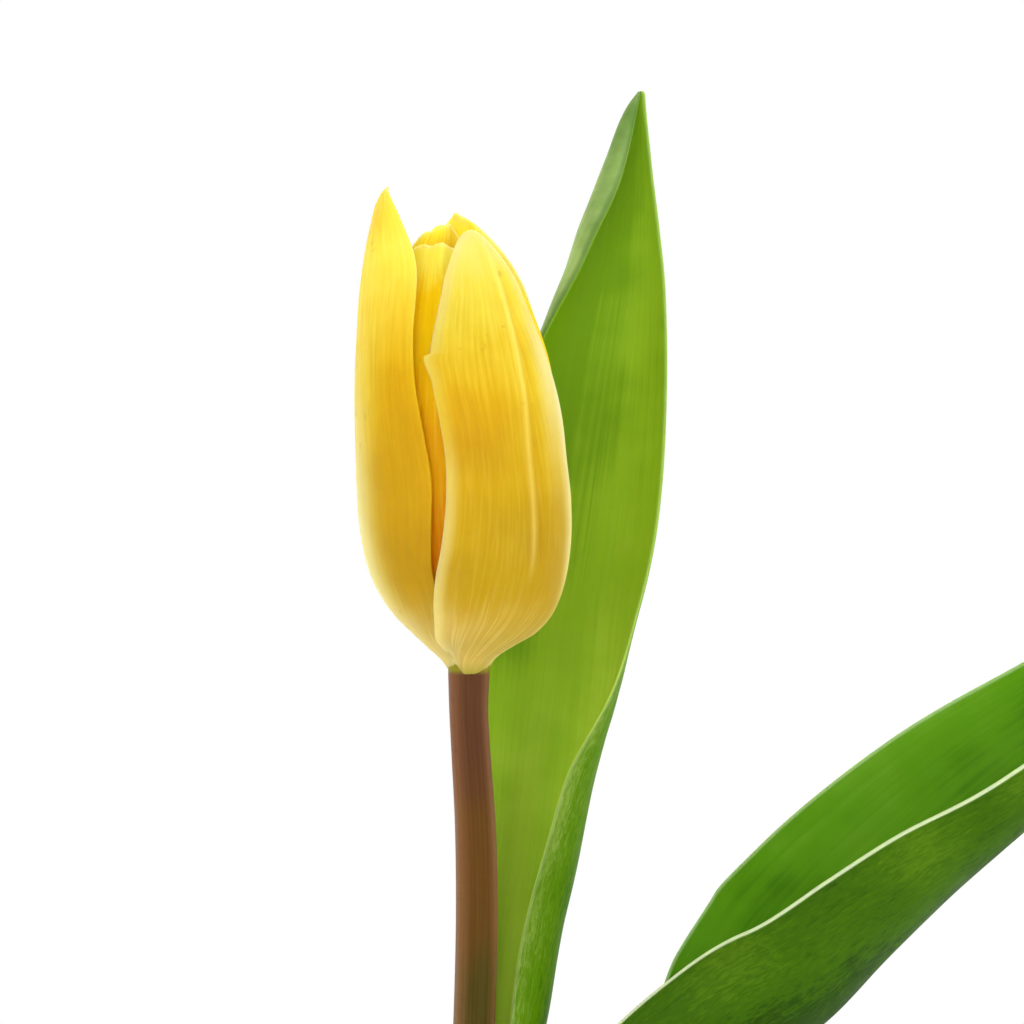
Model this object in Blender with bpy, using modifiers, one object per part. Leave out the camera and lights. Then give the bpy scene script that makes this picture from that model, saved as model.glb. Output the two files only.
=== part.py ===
"""A single yellow tulip with two leaves, standing in a plain glass bud vase of water.

The origin is the centre of the vase's flat base, +Z is up and -Y is the front.
Stations are written in millimetres and turned into metres by MM.
"""
import math

import bmesh
import bpy
import numpy as np
from mathutils import Matrix, Vector

MM = 0.001

# Driving dimensions, in millimetres
VASE_HEIGHT = 150.0
VASE_WALL = 2.6
VASE_FLOOR = 8.0
WATER_LEVEL = 92.0
CLEARANCE = 0.3
PETAL_THICKNESS = 0.7
LEAF_THICKNESS = 0.8

# The bloom stands on the stem's top and leans a little to the left
BLOOM_BASE = (-1.23, 0.0, 261.6)
BLOOM_TILT = math.radians(2.9)

# Fineness of the solids
TURNED_STEPS = 32
VASE_RINGS = 17
STEM_SIDES_RESOLUTION = 2
PISTIL_STEPS = 12
PETAL_ROWS, PETAL_HALF_COLUMNS = 19, 6
LEAF_ROWS, LEAF_HALF_COLUMNS = 30, 8
SECTION_STEPS = 4                        # steps of the section's sum between two columns
PETAL_TIP_CROWDING = 1.35                # power that draws the rows together towards the tip
LEAF_TIP_CROWDING = 1.2
WELD_DISTANCE = 0.002

# Sections of petals and leaves
NARROWEST_HALF = 0.35                    # half width left at the tip
KEEL_REACH = 2.5                         # distance from the midrib over which a keel bends
SHARPEST_CUP = 2.0                       # smallest radius that a petal's section curls to

# Outer profile of the vase, radius and height, from the foot's rim up to the mouth
VASE_PROFILE = [(23.0, 0.0), (25.0, 1.0), (31.0, 10.0), (35.2, 22.0), (36.5, 34.0), (35.2, 47.0),
                (30.6, 63.0), (23.8, 80.0), (17.6, 95.0), (13.6, 109.0), (12.2, 122.0),
                (12.7, 134.0), (14.3, 143.0), (16.4, 149.0)]
FLOOR_CORNER = (3.0, 2.5)                # run and rise of the corner inside the foot
RIM_FLATS = (0.35, 0.25)                 # where the rim's top starts and ends, in wall thicknesses

# Stem: x, y, z of its centre and its radius, from the cut end up to under the bloom
STEM = [(4.5, 2.0, 8.45, 3.4), (3.2, 1.5, 27.0, 3.4), (-0.8, 0.8, 58.0, 3.3), (-4.6, 0.2, 92.0, 3.25),
        (-6.05, 0.0, 121.0, 3.2), (-5.2, 0.0, 142.0, 3.15), (-3.5, 0.0, 165.0, 3.05),
        (-1.7, 0.0, 188.0, 2.95), (-0.4, 0.0, 211.0, 2.9), (-0.05, 0.0, 229.7, 2.85),
        (-0.3, 0.0, 241.5, 2.75), (-0.95, 0.0, 251.0, 2.65), (-1.13, 0.0, 258.5, 2.7)]
STEM_RINGS = 30
# Receptacle on top of the stem: height above the bloom's base and radius
RECEPTACLE = [(-1.9, 2.8), (-1.15, 2.85), (-1.0, 2.55), (-0.75, 1.9), (-0.2, 1.6), (0.3, 1.55), (0.45, 1.3)]

# Petals: height and radius of the midrib's outer face, its azimuth in degrees from the front,
# and the width of the left and right half; the tip is where the taper starts and its two powers
PETALS = {
    "petal_outer_left": {
        "colour": (0.90, 0.72, 0.07), "keel": (4.0, 4.0), "tip": (0.80, 2.0, 0.62),
        "stations": [
            (-0.2, 2.6, -112, 2.4, 2.4), (0.8, 3.5, -110, 3.4, 3.6), (3.2, 5.9, -101, 5.6, 6.0),
            (5.6, 8.2, -93, 8.0, 8.6), (8.1, 10.5, -87, 10.5, 11.5), (11.0, 12.4, -83, 12.5, 13.2),
            (15.2, 14.1, -81, 14.0, 14.6), (20.0, 14.85, -81, 14.6, 15.8), (27.0, 15.1, -81, 14.8, 16.6),
            (34.0, 15.05, -81, 14.8, 15.7), (41.0, 14.7, -81, 14.6, 14.3), (48.0, 14.1, -81, 14.2, 13.5),
            (55.0, 13.3, -81, 13.4, 13.3), (60.0, 12.4, -81, 12.4, 12.4), (64.5, 11.3, -81, 11.4, 11.0),
            (68.2, 10.1, -81, 10.0, 10.0), (69.6, 9.2, -81, 9.0, 9.0), (70.2, 8.4, -81, 8.0, 8.0)]},
    "petal_outer_front": {
        "colour": (0.91, 0.74, 0.09), "keel": (4.0, 0.0), "tip": (0.86, 2.0, 0.55),
        "stations": [
            (-0.6, 2.7, 4, 2.4, 2.4), (0.4, 3.9, 8, 3.5, 4.0), (2.6, 6.7, 22, 6.7, 7.0),
            (4.7, 10.0, 29, 9.8, 9.8), (6.9, 12.2, 34, 11.8, 11.6), (9.4, 13.6, 37, 13.3, 12.8),
            (13.0, 14.8, 39.5, 14.2, 13.8), (18.0, 15.7, 40, 13.7, 14.3), (24.0, 15.95, 40, 12.9, 14.3),
            (30.0, 15.6, 40, 12.4, 13.8), (36.0, 15.3, 40, 12.8, 12.0), (41.0, 14.7, 40, 13.6, 10.2),
            (45.6, 13.7, 40, 12.9, 9.0), (50.7, 12.2, 40, 11.0, 8.0), (55.8, 10.4, 40, 8.6, 7.0),
            (59.5, 8.7, 40, 6.8, 5.2), (62.2, 6.9, 40, 5.6, 4.0), (63.7, 5.3, 40, 4.4, 4.0)]},
    "petal_outer_back": {
        "colour": (0.90, 0.74, 0.10), "keel": (-1.0, 1.0), "tip": (0.80, 1.6, 0.75),
        "stations": [
            (-0.3, 2.6, 128, 2.4, 2.4), (0.7, 3.6, 130, 3.3, 3.3), (2.9, 6.4, 141, 5.6, 5.6),
            (5.2, 9.2, 149, 7.7, 8.0), (7.6, 11.6, 154, 9.4, 10.0), (10.4, 13.2, 157, 10.6, 11.4),
            (14.5, 14.6, 159, 11.4, 12.6), (20.0, 15.5, 159, 11.8, 13.4), (27.0, 15.7, 159, 11.8, 13.6),
            (34.0, 15.4, 159, 11.6, 13.2), (41.0, 14.9, 159, 11.2, 12.8), (48.0, 14.0, 159, 10.8, 12.0),
            (54.0, 12.6, 159, 10.2, 11.0), (59.0, 10.6, 159, 9.4, 10.0), (62.5, 8.2, 159, 8.0, 8.0),
            (65.0, 5.6, 159, 6.0, 6.0), (66.3, 3.6, 159, 4.0, 4.0)]},
    "petal_inner_front": {
        "colour": (0.86, 0.58, 0.03), "keel": (6.0, 6.0), "tip": (0.86, 2.0, 0.5),
        "stations": [
            (1.1, 2.35, -52, 1.9, 1.9), (2.1, 2.95, -50, 2.7, 2.7), (4.0, 4.7, -42, 4.5, 4.5),
            (6.4, 7.0, -34, 6.6, 6.6), (9.0, 8.9, -28, 8.6, 8.4), (12.0, 10.4, -23, 10.0, 9.6),
            (16.0, 11.6, -21, 11.2, 10.6), (21.0, 12.4, -20, 12.0, 11.4), (27.0, 12.6, -19, 12.2, 11.6),
            (33.0, 12.4, -18, 12.0, 11.4), (39.0, 12.0, -16, 11.6, 10.8), (45.0, 11.2, -14, 10.8, 9.8),
            (51.0, 10.0, -13, 9.6, 8.6), (56.0, 8.1, -12, 8.0, 7.4), (60.0, 6.6, -11, 6.6, 6.2),
            (61.8, 5.4, -11, 5.6, 5.0), (62.4, 4.2, -11, 4.6, 4.4), (62.0, 3.0, -11, 3.6, 3.6)]},
    "petal_inner_right": {
        "colour": (0.88, 0.62, 0.04), "keel": (22.0, 22.0), "tip": (0.86, 2.0, 0.5),
        "stations": [
            (1.1, 2.45, 68, 1.9, 1.9), (2.1, 3.35, 70, 2.8, 2.8), (4.0, 5.4, 79, 4.7, 4.7),
            (6.4, 8.3, 87, 6.8, 6.8), (9.0, 11.0, 93, 9.0, 9.0), (12.0, 12.8, 97, 10.4, 10.6),
            (16.0, 14.0, 99, 11.2, 11.6), (21.0, 14.5, 99, 11.6, 12.2), (27.0, 14.5, 99, 11.6, 12.4),
            (33.0, 14.4, 99, 11.4, 12.2), (39.0, 14.3, 99, 11.0, 11.8), (44.0, 13.7, 99, 10.4, 11.2),
            (49.0, 12.5, 99, 9.4, 10.2), (54.0, 10.7, 99, 7.8, 8.6), (58.0, 8.4, 99, 6.2, 6.8),
            (60.6, 5.8, 99, 5.0, 5.4), (61.6, 4.0, 99, 4.0, 4.0), (61.6, 2.8, 99, 3.0, 3.0)]},
    "petal_inner_back": {
        "colour": (0.89, 0.66, 0.05), "keel": (8.0, 8.0), "tip": (0.88, 2.2, 0.5),
        "stations": [
            (1.1, 2.35, 188, 1.9, 1.9), (2.1, 2.95, 190, 2.7, 2.7), (4.0, 4.7, 199, 4.5, 4.5),
            (6.4, 7.0, 207, 6.6, 6.6), (9.0, 9.3, 213, 8.6, 8.6), (12.0, 10.9, 217, 10.0, 10.0),
            (16.0, 12.3, 219, 11.2, 11.2), (21.0, 13.0, 219, 11.8, 11.8), (27.0, 13.25, 219, 12.2, 12.2),
            (33.0, 13.1, 219, 12.0, 12.0), (39.0, 12.75, 219, 11.6, 11.6), (45.0, 12.1, 218, 10.8, 10.8),
            (51.0, 10.8, 216, 9.6, 9.6), (56.0, 9.2, 213, 8.2, 8.2), (60.5, 7.4, 208, 6.8, 6.8),
            (63.2, 5.6, 203, 5.6, 5.6), (64.2, 4.2, 200, 4.6, 4.6), (64.2, 3.0, 200, 3.4, 3.4)]},
}

# Leaves: x, y, z of the midrib, width of the left and right half, the degrees through which each
# half turns towards the inner side, and the roll of the section about the midrib
LEAVES = {
    "leaf_upright": {
        "inner_side": (0.0, -1.0, 0.0), "keel": 0.0, "power": (1.3, 1.2),
        "stations": [
            (-2.0, 3.95, 183.0, 7.0, 7.0, 105, 105, 0), (0.0, 5.8, 196.0, 7.5, 12.5, 85, 155, 0),
            (3.4, 10.0, 210.0, 8.0, 17.0, 65, 188, 0), (5.8, 15.5, 223.8, 9.0, 17.4, 60, 185, 0),
            (7.9, 20.0, 235.0, 10.0, 17.8, 55, 172, 0), (9.4, 24.0, 246.8, 11.0, 18.4, 50, 148, 0),
            (11.0, 26.0, 258.9, 12.0, 17.8, 50, 113, 0), (12.5, 27.0, 271.0, 13.2, 16.4, 50, 87, 0),
            (14.6, 27.5, 283.0, 14.8, 14.6, 60, 65, 0), (16.5, 28.0, 295.0, 16.2, 13.2, 80, 55, 0),
            (19.5, 28.0, 312.6, 16.4, 9.8, 122, 50, 0), (20.5, 28.0, 318.6, 15.5, 8.4, 138, 48, 0),
            (21.5, 28.0, 326.7, 13.8, 6.4, 153, 45, 0), (22.7, 27.5, 336.4, 10.8, 3.9, 165, 42, 0),
            (24.0, 27.0, 345.5, 4.4, 1.6, 165, 40, 0), (24.4, 27.0, 347.8, 0.4, 0.4, 150, 40, 0)]},
    "leaf_right": {
        "inner_side": (-1.0, 0.0, 0.6), "keel": 20.0, "power": (1.0, 1.0),
        "stations": [
            (-0.05, 0.0, 155.5, 8.2, 8.2, 83, 83, 0), (0.9, 0.0, 161.5, 8.6, 8.8, 80, 84, 0),
            (2.6, 0.0, 166.0, 9.0, 10.2, 77, 90, 0), (5.2, 0.0, 169.8, 9.2, 12.0, 75, 95, 0),
            (12.0, 0.0, 177.0, 11.0, 16.5, 70, 97, 0), (21.0, 0.0, 185.0, 14.0, 20.5, 70, 98, -1),
            (32.0, 0.0, 194.5, 19.0, 24.5, 68, 100, -4),
            (42.5, 0.0, 204.3, 24.9, 27.0, 63, 100, -8), (51.0, 0.0, 211.8, 26.2, 26.8, 55, 98, -17),
            (59.3, 0.0, 221.3, 25.4, 26.0, 47, 96, -26), (68.5, 0.0, 231.0, 23.3, 24.4, 40, 97, -34),
            (76.0, 0.0, 238.5, 20.6, 22.2, 33, 98, -43), (88.3, 0.0, 249.3, 17.1, 19.5, 27, 98, -49),
            (100.5, 0.0, 258.5, 13.6, 15.5, 25, 92, -52), (112.0, 0.0, 266.5, 9.5, 10.5, 25, 85, -52),
            (121.0, 0.0, 272.3, 5.0, 5.0, 25, 80, -50), (128.0, 0.0, 276.5, 0.4, 0.4, 25, 80, -50)]},
}

# Inside the bloom: heights above its base and radii
PISTIL_PROFILE = [(0.8, 0.4), (1.8, 0.45), (3.2, 1.0), (6.0, 1.55), (12.0, 1.7), (16.5, 1.45), (18.6, 1.1)]
STIGMA_LOBES, STIGMA_HEIGHT, STIGMA_REACH = 3, 18.8, 1.25
STIGMA_SIZE = (1.5, 0.75, 1.1)
STAMENS = 6
STAMEN_RING = (0.98, 0.22, 1.1)          # radius, tube radius, height
STAMEN_RING_STEPS, STAMEN_RING_SIDES = 12, 6
FILAMENT = [(0.98, 1.1), (1.45, 2.6), (2.35, 5.0), (2.8, 9.0), (3.0, 11.5)]    # radius out, height
FILAMENT_RINGS = 6
FILAMENT_RADIUS = 0.3
ANTHER_RADIUS_OUT, ANTHER_HEIGHT = 3.15, 15.2
ANTHER_SIZE = (0.85, 0.6, 4.6)
LOBE_SEGMENTS, LOBE_RINGS = 8, 6

GLASS = (0.93, 0.97, 0.97)
WATER = (0.90, 0.96, 0.97)
STEM_BROWN = (0.15, 0.06, 0.022)
LEAF_GREEN = (0.10, 0.26, 0.02)
PISTIL_GREEN = (0.55, 0.62, 0.22)
POLLEN_YELLOW = (0.72, 0.50, 0.08)


def clear_scene():
    for obj in list(bpy.data.objects):
        bpy.data.objects.remove(obj, do_unlink=True)


def make_collection(name):
    collection = bpy.data.collections.new(name)
    bpy.context.scene.collection.children.link(collection)
    return collection


def make_material(name, colour, roughness, alpha=1.0, transmission=0.0):
    material = bpy.data.materials.new(name)
    material.use_nodes = True
    shader = material.node_tree.nodes["Principled BSDF"]
    shader.inputs["Base Color"].default_value = (*colour, 1.0)
    shader.inputs["Roughness"].default_value = roughness
    shader.inputs["Metallic"].default_value = 0.0
    shader.inputs["Alpha"].default_value = alpha
    shader.inputs["Transmission Weight"].default_value = transmission
    return material


def new_object(name, data, collection, material=None):
    obj = bpy.data.objects.new(name, data)
    collection.objects.link(obj)
    if material is not None:
        obj.data.materials.append(material)
    return obj


def evaluated_copy(obj, name, collection, material):
    """The object with its modifiers applied, as a new mesh object; the old one is removed."""
    depsgraph = bpy.context.evaluated_depsgraph_get()
    mesh = bpy.data.meshes.new_from_object(obj.evaluated_get(depsgraph))
    matrix = obj.matrix_world.copy()
    bpy.data.objects.remove(obj, do_unlink=True)
    shape = bmesh.new()
    shape.from_mesh(mesh)
    bmesh.ops.remove_doubles(shape, verts=shape.verts, dist=WELD_DISTANCE * MM)
    bmesh.ops.recalc_face_normals(shape, faces=shape.faces)
    shape.to_mesh(mesh)
    shape.free()
    mesh.materials.clear()
    result = new_object(name, mesh, collection, material)
    result.matrix_world = matrix
    return result


def smooth_curve(stations, samples, place_columns):
    """Smooth curve through the stations at samples in 0..1, spaced by the first place_columns."""
    points = np.asarray(stations, float)
    chord = np.linalg.norm(np.diff(points[:, :place_columns], axis=0), axis=1)
    knots = np.concatenate([[0.0], np.cumsum(chord)]) / chord.sum()
    slopes = np.gradient(points, knots, axis=0)
    samples = np.asarray(samples, float)
    index = np.clip(np.searchsorted(knots, samples, side="right") - 1, 0, len(knots) - 2)
    step = (knots[index + 1] - knots[index])[:, None]
    f = (samples - knots[index])[:, None] / step
    return ((2 * f**3 - 3 * f**2 + 1) * points[index] + (f**3 - 2 * f**2 + f) * step * slopes[index]
            + (3 * f**2 - 2 * f**3) * points[index + 1] + (f**3 - f**2) * step * slopes[index + 1])


def half_section(widths, keel, turns, power, columns):
    """Side and lift of half a section, from the midrib to the margin, by adding up its heading."""
    f = np.linspace(0.0, 1.0, (columns - 1) * SECTION_STEPS + 1)
    heading = keel * np.tanh(f * widths[:, None] / KEEL_REACH) + turns[:, None] * f**power
    middle = 0.5 * (heading[:, 1:] + heading[:, :-1])
    step = widths[:, None] / (len(f) - 1)
    start = np.zeros((len(widths), 1))
    side = np.hstack([start, np.cumsum(np.cos(middle) * step, axis=1)])
    lift = np.hstack([start, np.cumsum(np.sin(middle) * step, axis=1)])
    return side[:, ::SECTION_STEPS], lift[:, ::SECTION_STEPS]


def bloom_matrix():
    tilt = Matrix.Rotation(-BLOOM_TILT, 4, "Y")
    return Matrix.Translation(Vector(BLOOM_BASE) * MM) @ tilt


def petal_points(petal, rows, half_columns):
    """Outer face of a petal in the bloom's own frame, rows from base to tip, in millimetres."""
    samples = 1.0 - (1.0 - np.linspace(0.0, 1.0, rows)) ** PETAL_TIP_CROWDING
    stations = smooth_curve(petal["stations"], samples, 2)
    height, radius, azimuth = stations[:, 0], stations[:, 1], np.radians(stations[:, 2])
    start, first_power, second_power = petal["tip"]
    x = np.clip((samples - start) / (1.0 - start), 0.0, 1.0)
    taper = (1.0 - x**first_power) ** second_power
    sections = []
    for half in (0, 1):
        width = np.maximum(stations[:, 3 + half] * taper, NARROWEST_HALF)
        turn = width / np.maximum(radius, SHARPEST_CUP)
        keel = math.radians(petal["keel"][half])
        sections.append(half_section(width, keel, turn, 1.0, half_columns))
    (left_side, left_lift), (right_side, right_lift) = sections
    side = np.hstack([-left_side[:, :0:-1], right_side])
    lift = np.hstack([left_lift[:, :0:-1], right_lift])
    out = radius[:, None] - lift
    sine, cosine = np.sin(azimuth)[:, None], np.cos(azimuth)[:, None]
    x = out * sine + side * cosine
    y = -out * cosine + side * sine
    z = np.broadcast_to(height[:, None], x.shape)
    return np.stack([x, y, z], axis=2)


def leaf_points(leaf, rows, half_columns):
    """Middle surface of a leaf, rows from base to tip, in millimetres."""
    samples = 1.0 - (1.0 - np.linspace(0.0, 1.0, rows)) ** LEAF_TIP_CROWDING
    stations = smooth_curve(leaf["stations"], samples, 3)
    midrib = stations[:, :3]
    along = np.gradient(midrib, axis=0)
    along /= np.linalg.norm(along, axis=1)[:, None]
    inner = np.array(leaf["inner_side"])
    normal = inner - (along @ inner)[:, None] * along
    normal /= np.linalg.norm(normal, axis=1)[:, None]
    right = np.cross(along, normal)
    keel = math.radians(leaf["keel"])
    halves = [half_section(stations[:, 3 + half], keel, np.radians(stations[:, 5 + half]),
                           leaf["power"][half], half_columns) for half in (0, 1)]
    (left_side, left_lift), (right_side, right_lift) = halves
    side = np.hstack([-left_side[:, :0:-1], right_side])
    lift = np.hstack([left_lift[:, :0:-1], right_lift])
    roll = np.radians(stations[:, 7])[:, None]
    turned_side = side * np.cos(roll) - lift * np.sin(roll)
    turned_lift = side * np.sin(roll) + lift * np.cos(roll)
    across = turned_side[..., None] * right[:, None] + turned_lift[..., None] * normal[:, None]
    return midrib[:, None] + across


def make_sheet(name, points, thickness, offset, collection, material):
    """A thin solid on a grid of points: the grid is bent to the formula, split and thickened."""
    rows, columns = points.shape[:2]
    shape = bmesh.new()
    bmesh.ops.create_grid(shape, x_segments=columns - 1, y_segments=rows - 1, size=1.0)
    for vertex in shape.verts:
        column = round((vertex.co.x + 1.0) / 2.0 * (columns - 1))
        row = round((vertex.co.y + 1.0) / 2.0 * (rows - 1))
        vertex.co = Vector(points[row, column]) * MM
    mesh = bpy.data.meshes.new(name)
    shape.to_mesh(mesh)
    shape.free()
    mesh.shade_smooth()
    sheet = new_object(name, mesh, collection, material)
    split = sheet.modifiers.new("same_split_on_both_faces", "TRIANGULATE")
    split.quad_method = "FIXED"
    thicken = sheet.modifiers.new("thickness", "SOLIDIFY")
    thicken.thickness = thickness * MM
    thicken.offset = offset
    return sheet


def make_turned(name, profile, collection, material, steps=TURNED_STEPS):
    """A turned solid; the profile of radius and height runs down its outer side."""
    mesh = bpy.data.meshes.new(name)
    shape = bmesh.new()
    verts = [shape.verts.new((radius * MM, 0.0, height * MM)) for radius, height in profile]
    for first, second in zip(verts, verts[1:]):
        shape.edges.new((first, second))
    shape.to_mesh(mesh)
    shape.free()
    turned = new_object(name, mesh, collection, material)
    screw = turned.modifiers.new("turn", "SCREW")
    screw.axis = "Z"
    screw.steps = steps
    screw.render_steps = steps
    screw.use_merge_vertices = True
    screw.merge_threshold = WELD_DISTANCE * MM
    screw.use_smooth_shade = True
    return turned


def make_tube(name, points, radii, collection, resolution):
    """A tube of changing radius along points in metres, as a curve with filled caps."""
    curve = bpy.data.curves.new(name, "CURVE")
    curve.dimensions = "3D"
    curve.bevel_depth = 1.0
    curve.bevel_resolution = resolution
    curve.use_fill_caps = True
    spline = curve.splines.new("POLY")
    spline.points.add(len(points) - 1)
    for point, place, radius in zip(spline.points, points, radii):
        point.co = (*place, 1.0)
        point.radius = radius
    return new_object(name, curve, collection)


def vase_walls():
    """Outer and inner profile of the vase, from the foot up, as radius and height."""
    outer = smooth_curve(VASE_PROFILE, np.linspace(0.0, 1.0, VASE_RINGS), 2)
    tangent = np.gradient(outer, axis=0)
    tangent /= np.linalg.norm(tangent, axis=1)[:, None]
    inner = outer + VASE_WALL * np.stack([-tangent[:, 1], tangent[:, 0]], axis=1)
    return outer, inner[inner[:, 1] > VASE_FLOOR + FLOOR_CORNER[1]]


def make_vase(collection):
    outer, inner = vase_walls()
    corner_radius = inner[0, 0] - FLOOR_CORNER[0]
    rim_start = inner[-1, 0] + RIM_FLATS[0] * VASE_WALL
    rim_end = outer[-1, 0] - RIM_FLATS[1] * VASE_WALL
    rim = [(rim_start, VASE_HEIGHT), (rim_end, VASE_HEIGHT)]
    inside = [(0.0, VASE_FLOOR), (corner_radius, VASE_FLOOR)] + [tuple(p) for p in inner]
    outside = [tuple(p) for p in outer[::-1]] + [(0.0, 0.0)]
    glass = make_material("glass", GLASS, 0.02, alpha=0.35, transmission=1.0)
    return make_turned("vase", inside + rim + outside, collection, glass)


def stem_path(extra):
    """Centres in metres and radii in metres of the stem; extra widens it, as for its hole."""
    shaft = smooth_curve(STEM, np.linspace(0.0, 1.0, STEM_RINGS), 3)
    points = [Vector(row[:3]) * MM for row in shaft]
    radii = [(row[3] + extra) * MM for row in shaft]
    if extra == 0.0:
        for height, radius in RECEPTACLE:
            points.append(bloom_matrix() @ Vector((0.0, 0.0, height * MM)))
            radii.append(radius * MM)
    return points, radii


def make_stem(collection, cutters):
    points, radii = stem_path(0.0)
    tube = make_tube("stem_curve", points, radii, cutters, STEM_SIDES_RESOLUTION)
    brown = make_material("stem", STEM_BROWN, 0.45)
    return evaluated_copy(tube, "stem", collection, brown)


def make_water(collection, cutters):
    """Water clear of the glass by a hair, with a plain hole where the stem goes down through it."""
    inner = vase_walls()[1]
    edge = [(radius - CLEARANCE, height) for radius, height in inner if height < WATER_LEVEL]
    top_radius = np.interp(WATER_LEVEL, inner[:, 1], inner[:, 0]) - CLEARANCE
    bottom = VASE_FLOOR + CLEARANCE
    bottom_radius = inner[0, 0] - FLOOR_CORNER[0] - CLEARANCE
    profile = [(0.0, WATER_LEVEL), (top_radius, WATER_LEVEL)] + edge[::-1]
    profile += [(bottom_radius, bottom), (0.0, bottom)]
    clear = make_material("water", WATER, 0.0, alpha=0.35, transmission=1.0)
    water = make_turned("water", profile, collection, clear)
    points, radii = stem_path(CLEARANCE)
    below = (points[0] - points[1]).normalized() * VASE_FLOOR * MM
    points.insert(0, points[0] + below)
    radii.insert(0, radii[0])
    hole_curve = make_tube("stem_hole_curve", points, radii, cutters, STEM_SIDES_RESOLUTION)
    hole = evaluated_copy(hole_curve, "stem_hole", cutters, None)
    hole.hide_render = True
    hole.display_type = "WIRE"
    cut = water.modifiers.new("hole_for_stem", "BOOLEAN")
    cut.operation = "DIFFERENCE"
    cut.object = hole
    return water


def make_petals(collection):
    for name, petal in PETALS.items():
        material = make_material(name, petal["colour"], 0.5)
        points = petal_points(petal, PETAL_ROWS, PETAL_HALF_COLUMNS)
        sheet = make_sheet(name, points, PETAL_THICKNESS, -1.0, collection, material)
        sheet.matrix_world = bloom_matrix()


def make_leaves(collection):
    for name, leaf in LEAVES.items():
        material = make_material(name, LEAF_GREEN, 0.42)
        points = leaf_points(leaf, LEAF_ROWS, LEAF_HALF_COLUMNS)
        make_sheet(name, points, LEAF_THICKNESS, 0.0, collection, material)


def make_lobe(name, size, place, turn, collection):
    """A long rounded lobe of the given half sizes, turned about the bloom's axis."""
    shape = bmesh.new()
    bmesh.ops.create_uvsphere(shape, u_segments=LOBE_SEGMENTS, v_segments=LOBE_RINGS, radius=1.0)
    grow = Matrix.Diagonal((*(Vector(size) * MM), 1.0))
    move = Matrix.Translation(Vector(place) * MM)
    bmesh.ops.transform(shape, matrix=Matrix.Rotation(turn, 4, "Z") @ move @ grow, verts=shape.verts)
    mesh = bpy.data.meshes.new(name)
    shape.to_mesh(mesh)
    shape.free()
    return new_object(name, mesh, collection)


def fuse(base, pieces, name, collection, material):
    """Joins the collection of pieces to the base by one union and removes them."""
    join = base.modifiers.new("join", "BOOLEAN")
    join.operation = "UNION"
    join.operand_type = "COLLECTION"
    join.collection = pieces
    result = evaluated_copy(base, name, collection, material)
    for piece in list(pieces.objects):
        bpy.data.objects.remove(piece, do_unlink=True)
    bpy.data.collections.remove(pieces)
    result.data.shade_smooth()
    result.matrix_world = bloom_matrix()
    return result


def make_pistil(collection):
    """Ovary with three stigma lobes on top."""
    pieces = make_collection("stigma")
    side = [(radius, height) for height, radius in PISTIL_PROFILE[::-1]]
    profile = [(0.0, PISTIL_PROFILE[-1][0])] + side + [(0.0, PISTIL_PROFILE[0][0])]
    ovary = make_turned("ovary", profile, collection, None, PISTIL_STEPS)
    for lobe in range(STIGMA_LOBES):
        place = (STIGMA_REACH, 0.0, STIGMA_HEIGHT)
        make_lobe(f"lobe_{lobe}", STIGMA_SIZE, place, lobe * math.tau / STIGMA_LOBES, pieces)
    return fuse(ovary, pieces, "pistil", collection, make_material("pistil", PISTIL_GREEN, 0.5))


def make_stamens(collection):
    """Filaments with long anthers, fused to a narrow ring round the pistil's foot."""
    pieces = make_collection("stamen_parts")
    ring_radius, ring_tube, ring_height = STAMEN_RING
    ring_profile = [(ring_radius + ring_tube * math.cos(a), ring_height - ring_tube * math.sin(a))
                    for a in np.linspace(0.0, math.tau, STAMEN_RING_SIDES + 1)]
    ring = make_turned("ring", ring_profile, collection, None, STAMEN_RING_STEPS)
    samples = smooth_curve(FILAMENT, np.linspace(0.0, 1.0, FILAMENT_RINGS), 2)
    for stamen in range(STAMENS):
        turn = (stamen + 0.5) * math.tau / STAMENS
        points = [Vector((r * math.cos(turn), r * math.sin(turn), h)) * MM for r, h in samples]
        radii = [FILAMENT_RADIUS * MM] * len(points)
        tube = make_tube("filament_curve", points, radii, pieces, 1)
        evaluated_copy(tube, f"filament_{stamen}", pieces, None)
        make_lobe(f"anther_{stamen}", ANTHER_SIZE, (ANTHER_RADIUS_OUT, 0.0, ANTHER_HEIGHT), turn, pieces)
    return fuse(ring, pieces, "stamens", collection, make_material("stamens", POLLEN_YELLOW, 0.7))


def main():
    clear_scene()
    tulip = make_collection("tulip_in_vase")
    cutters = make_collection("cutters")
    make_vase(tulip)
    make_water(tulip, cutters)
    make_stem(tulip, cutters)
    make_leaves(tulip)
    make_petals(tulip)
    make_pistil(tulip)
    make_stamens(tulip)


main()
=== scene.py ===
"""Looks of the tulip in its vase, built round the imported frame.

Lengths are in millimetres and are turned into metres by MM; +Z is up and -Y is the front.
"""

import math

import bpy
import numpy as np
from mathutils import Matrix, Vector, noise


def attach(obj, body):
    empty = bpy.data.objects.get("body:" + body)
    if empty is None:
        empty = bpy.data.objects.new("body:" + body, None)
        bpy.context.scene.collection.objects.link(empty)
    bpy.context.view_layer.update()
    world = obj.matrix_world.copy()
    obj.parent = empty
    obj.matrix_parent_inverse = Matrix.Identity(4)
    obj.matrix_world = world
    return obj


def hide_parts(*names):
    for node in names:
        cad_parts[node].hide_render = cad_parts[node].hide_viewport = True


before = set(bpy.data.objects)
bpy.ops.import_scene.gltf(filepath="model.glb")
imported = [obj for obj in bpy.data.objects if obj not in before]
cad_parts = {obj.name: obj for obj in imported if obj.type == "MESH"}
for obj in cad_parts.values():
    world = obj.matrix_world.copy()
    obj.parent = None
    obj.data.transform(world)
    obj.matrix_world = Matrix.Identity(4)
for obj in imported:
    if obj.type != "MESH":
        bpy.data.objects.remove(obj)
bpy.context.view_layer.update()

MM = 0.001
BODY = "root"

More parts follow.
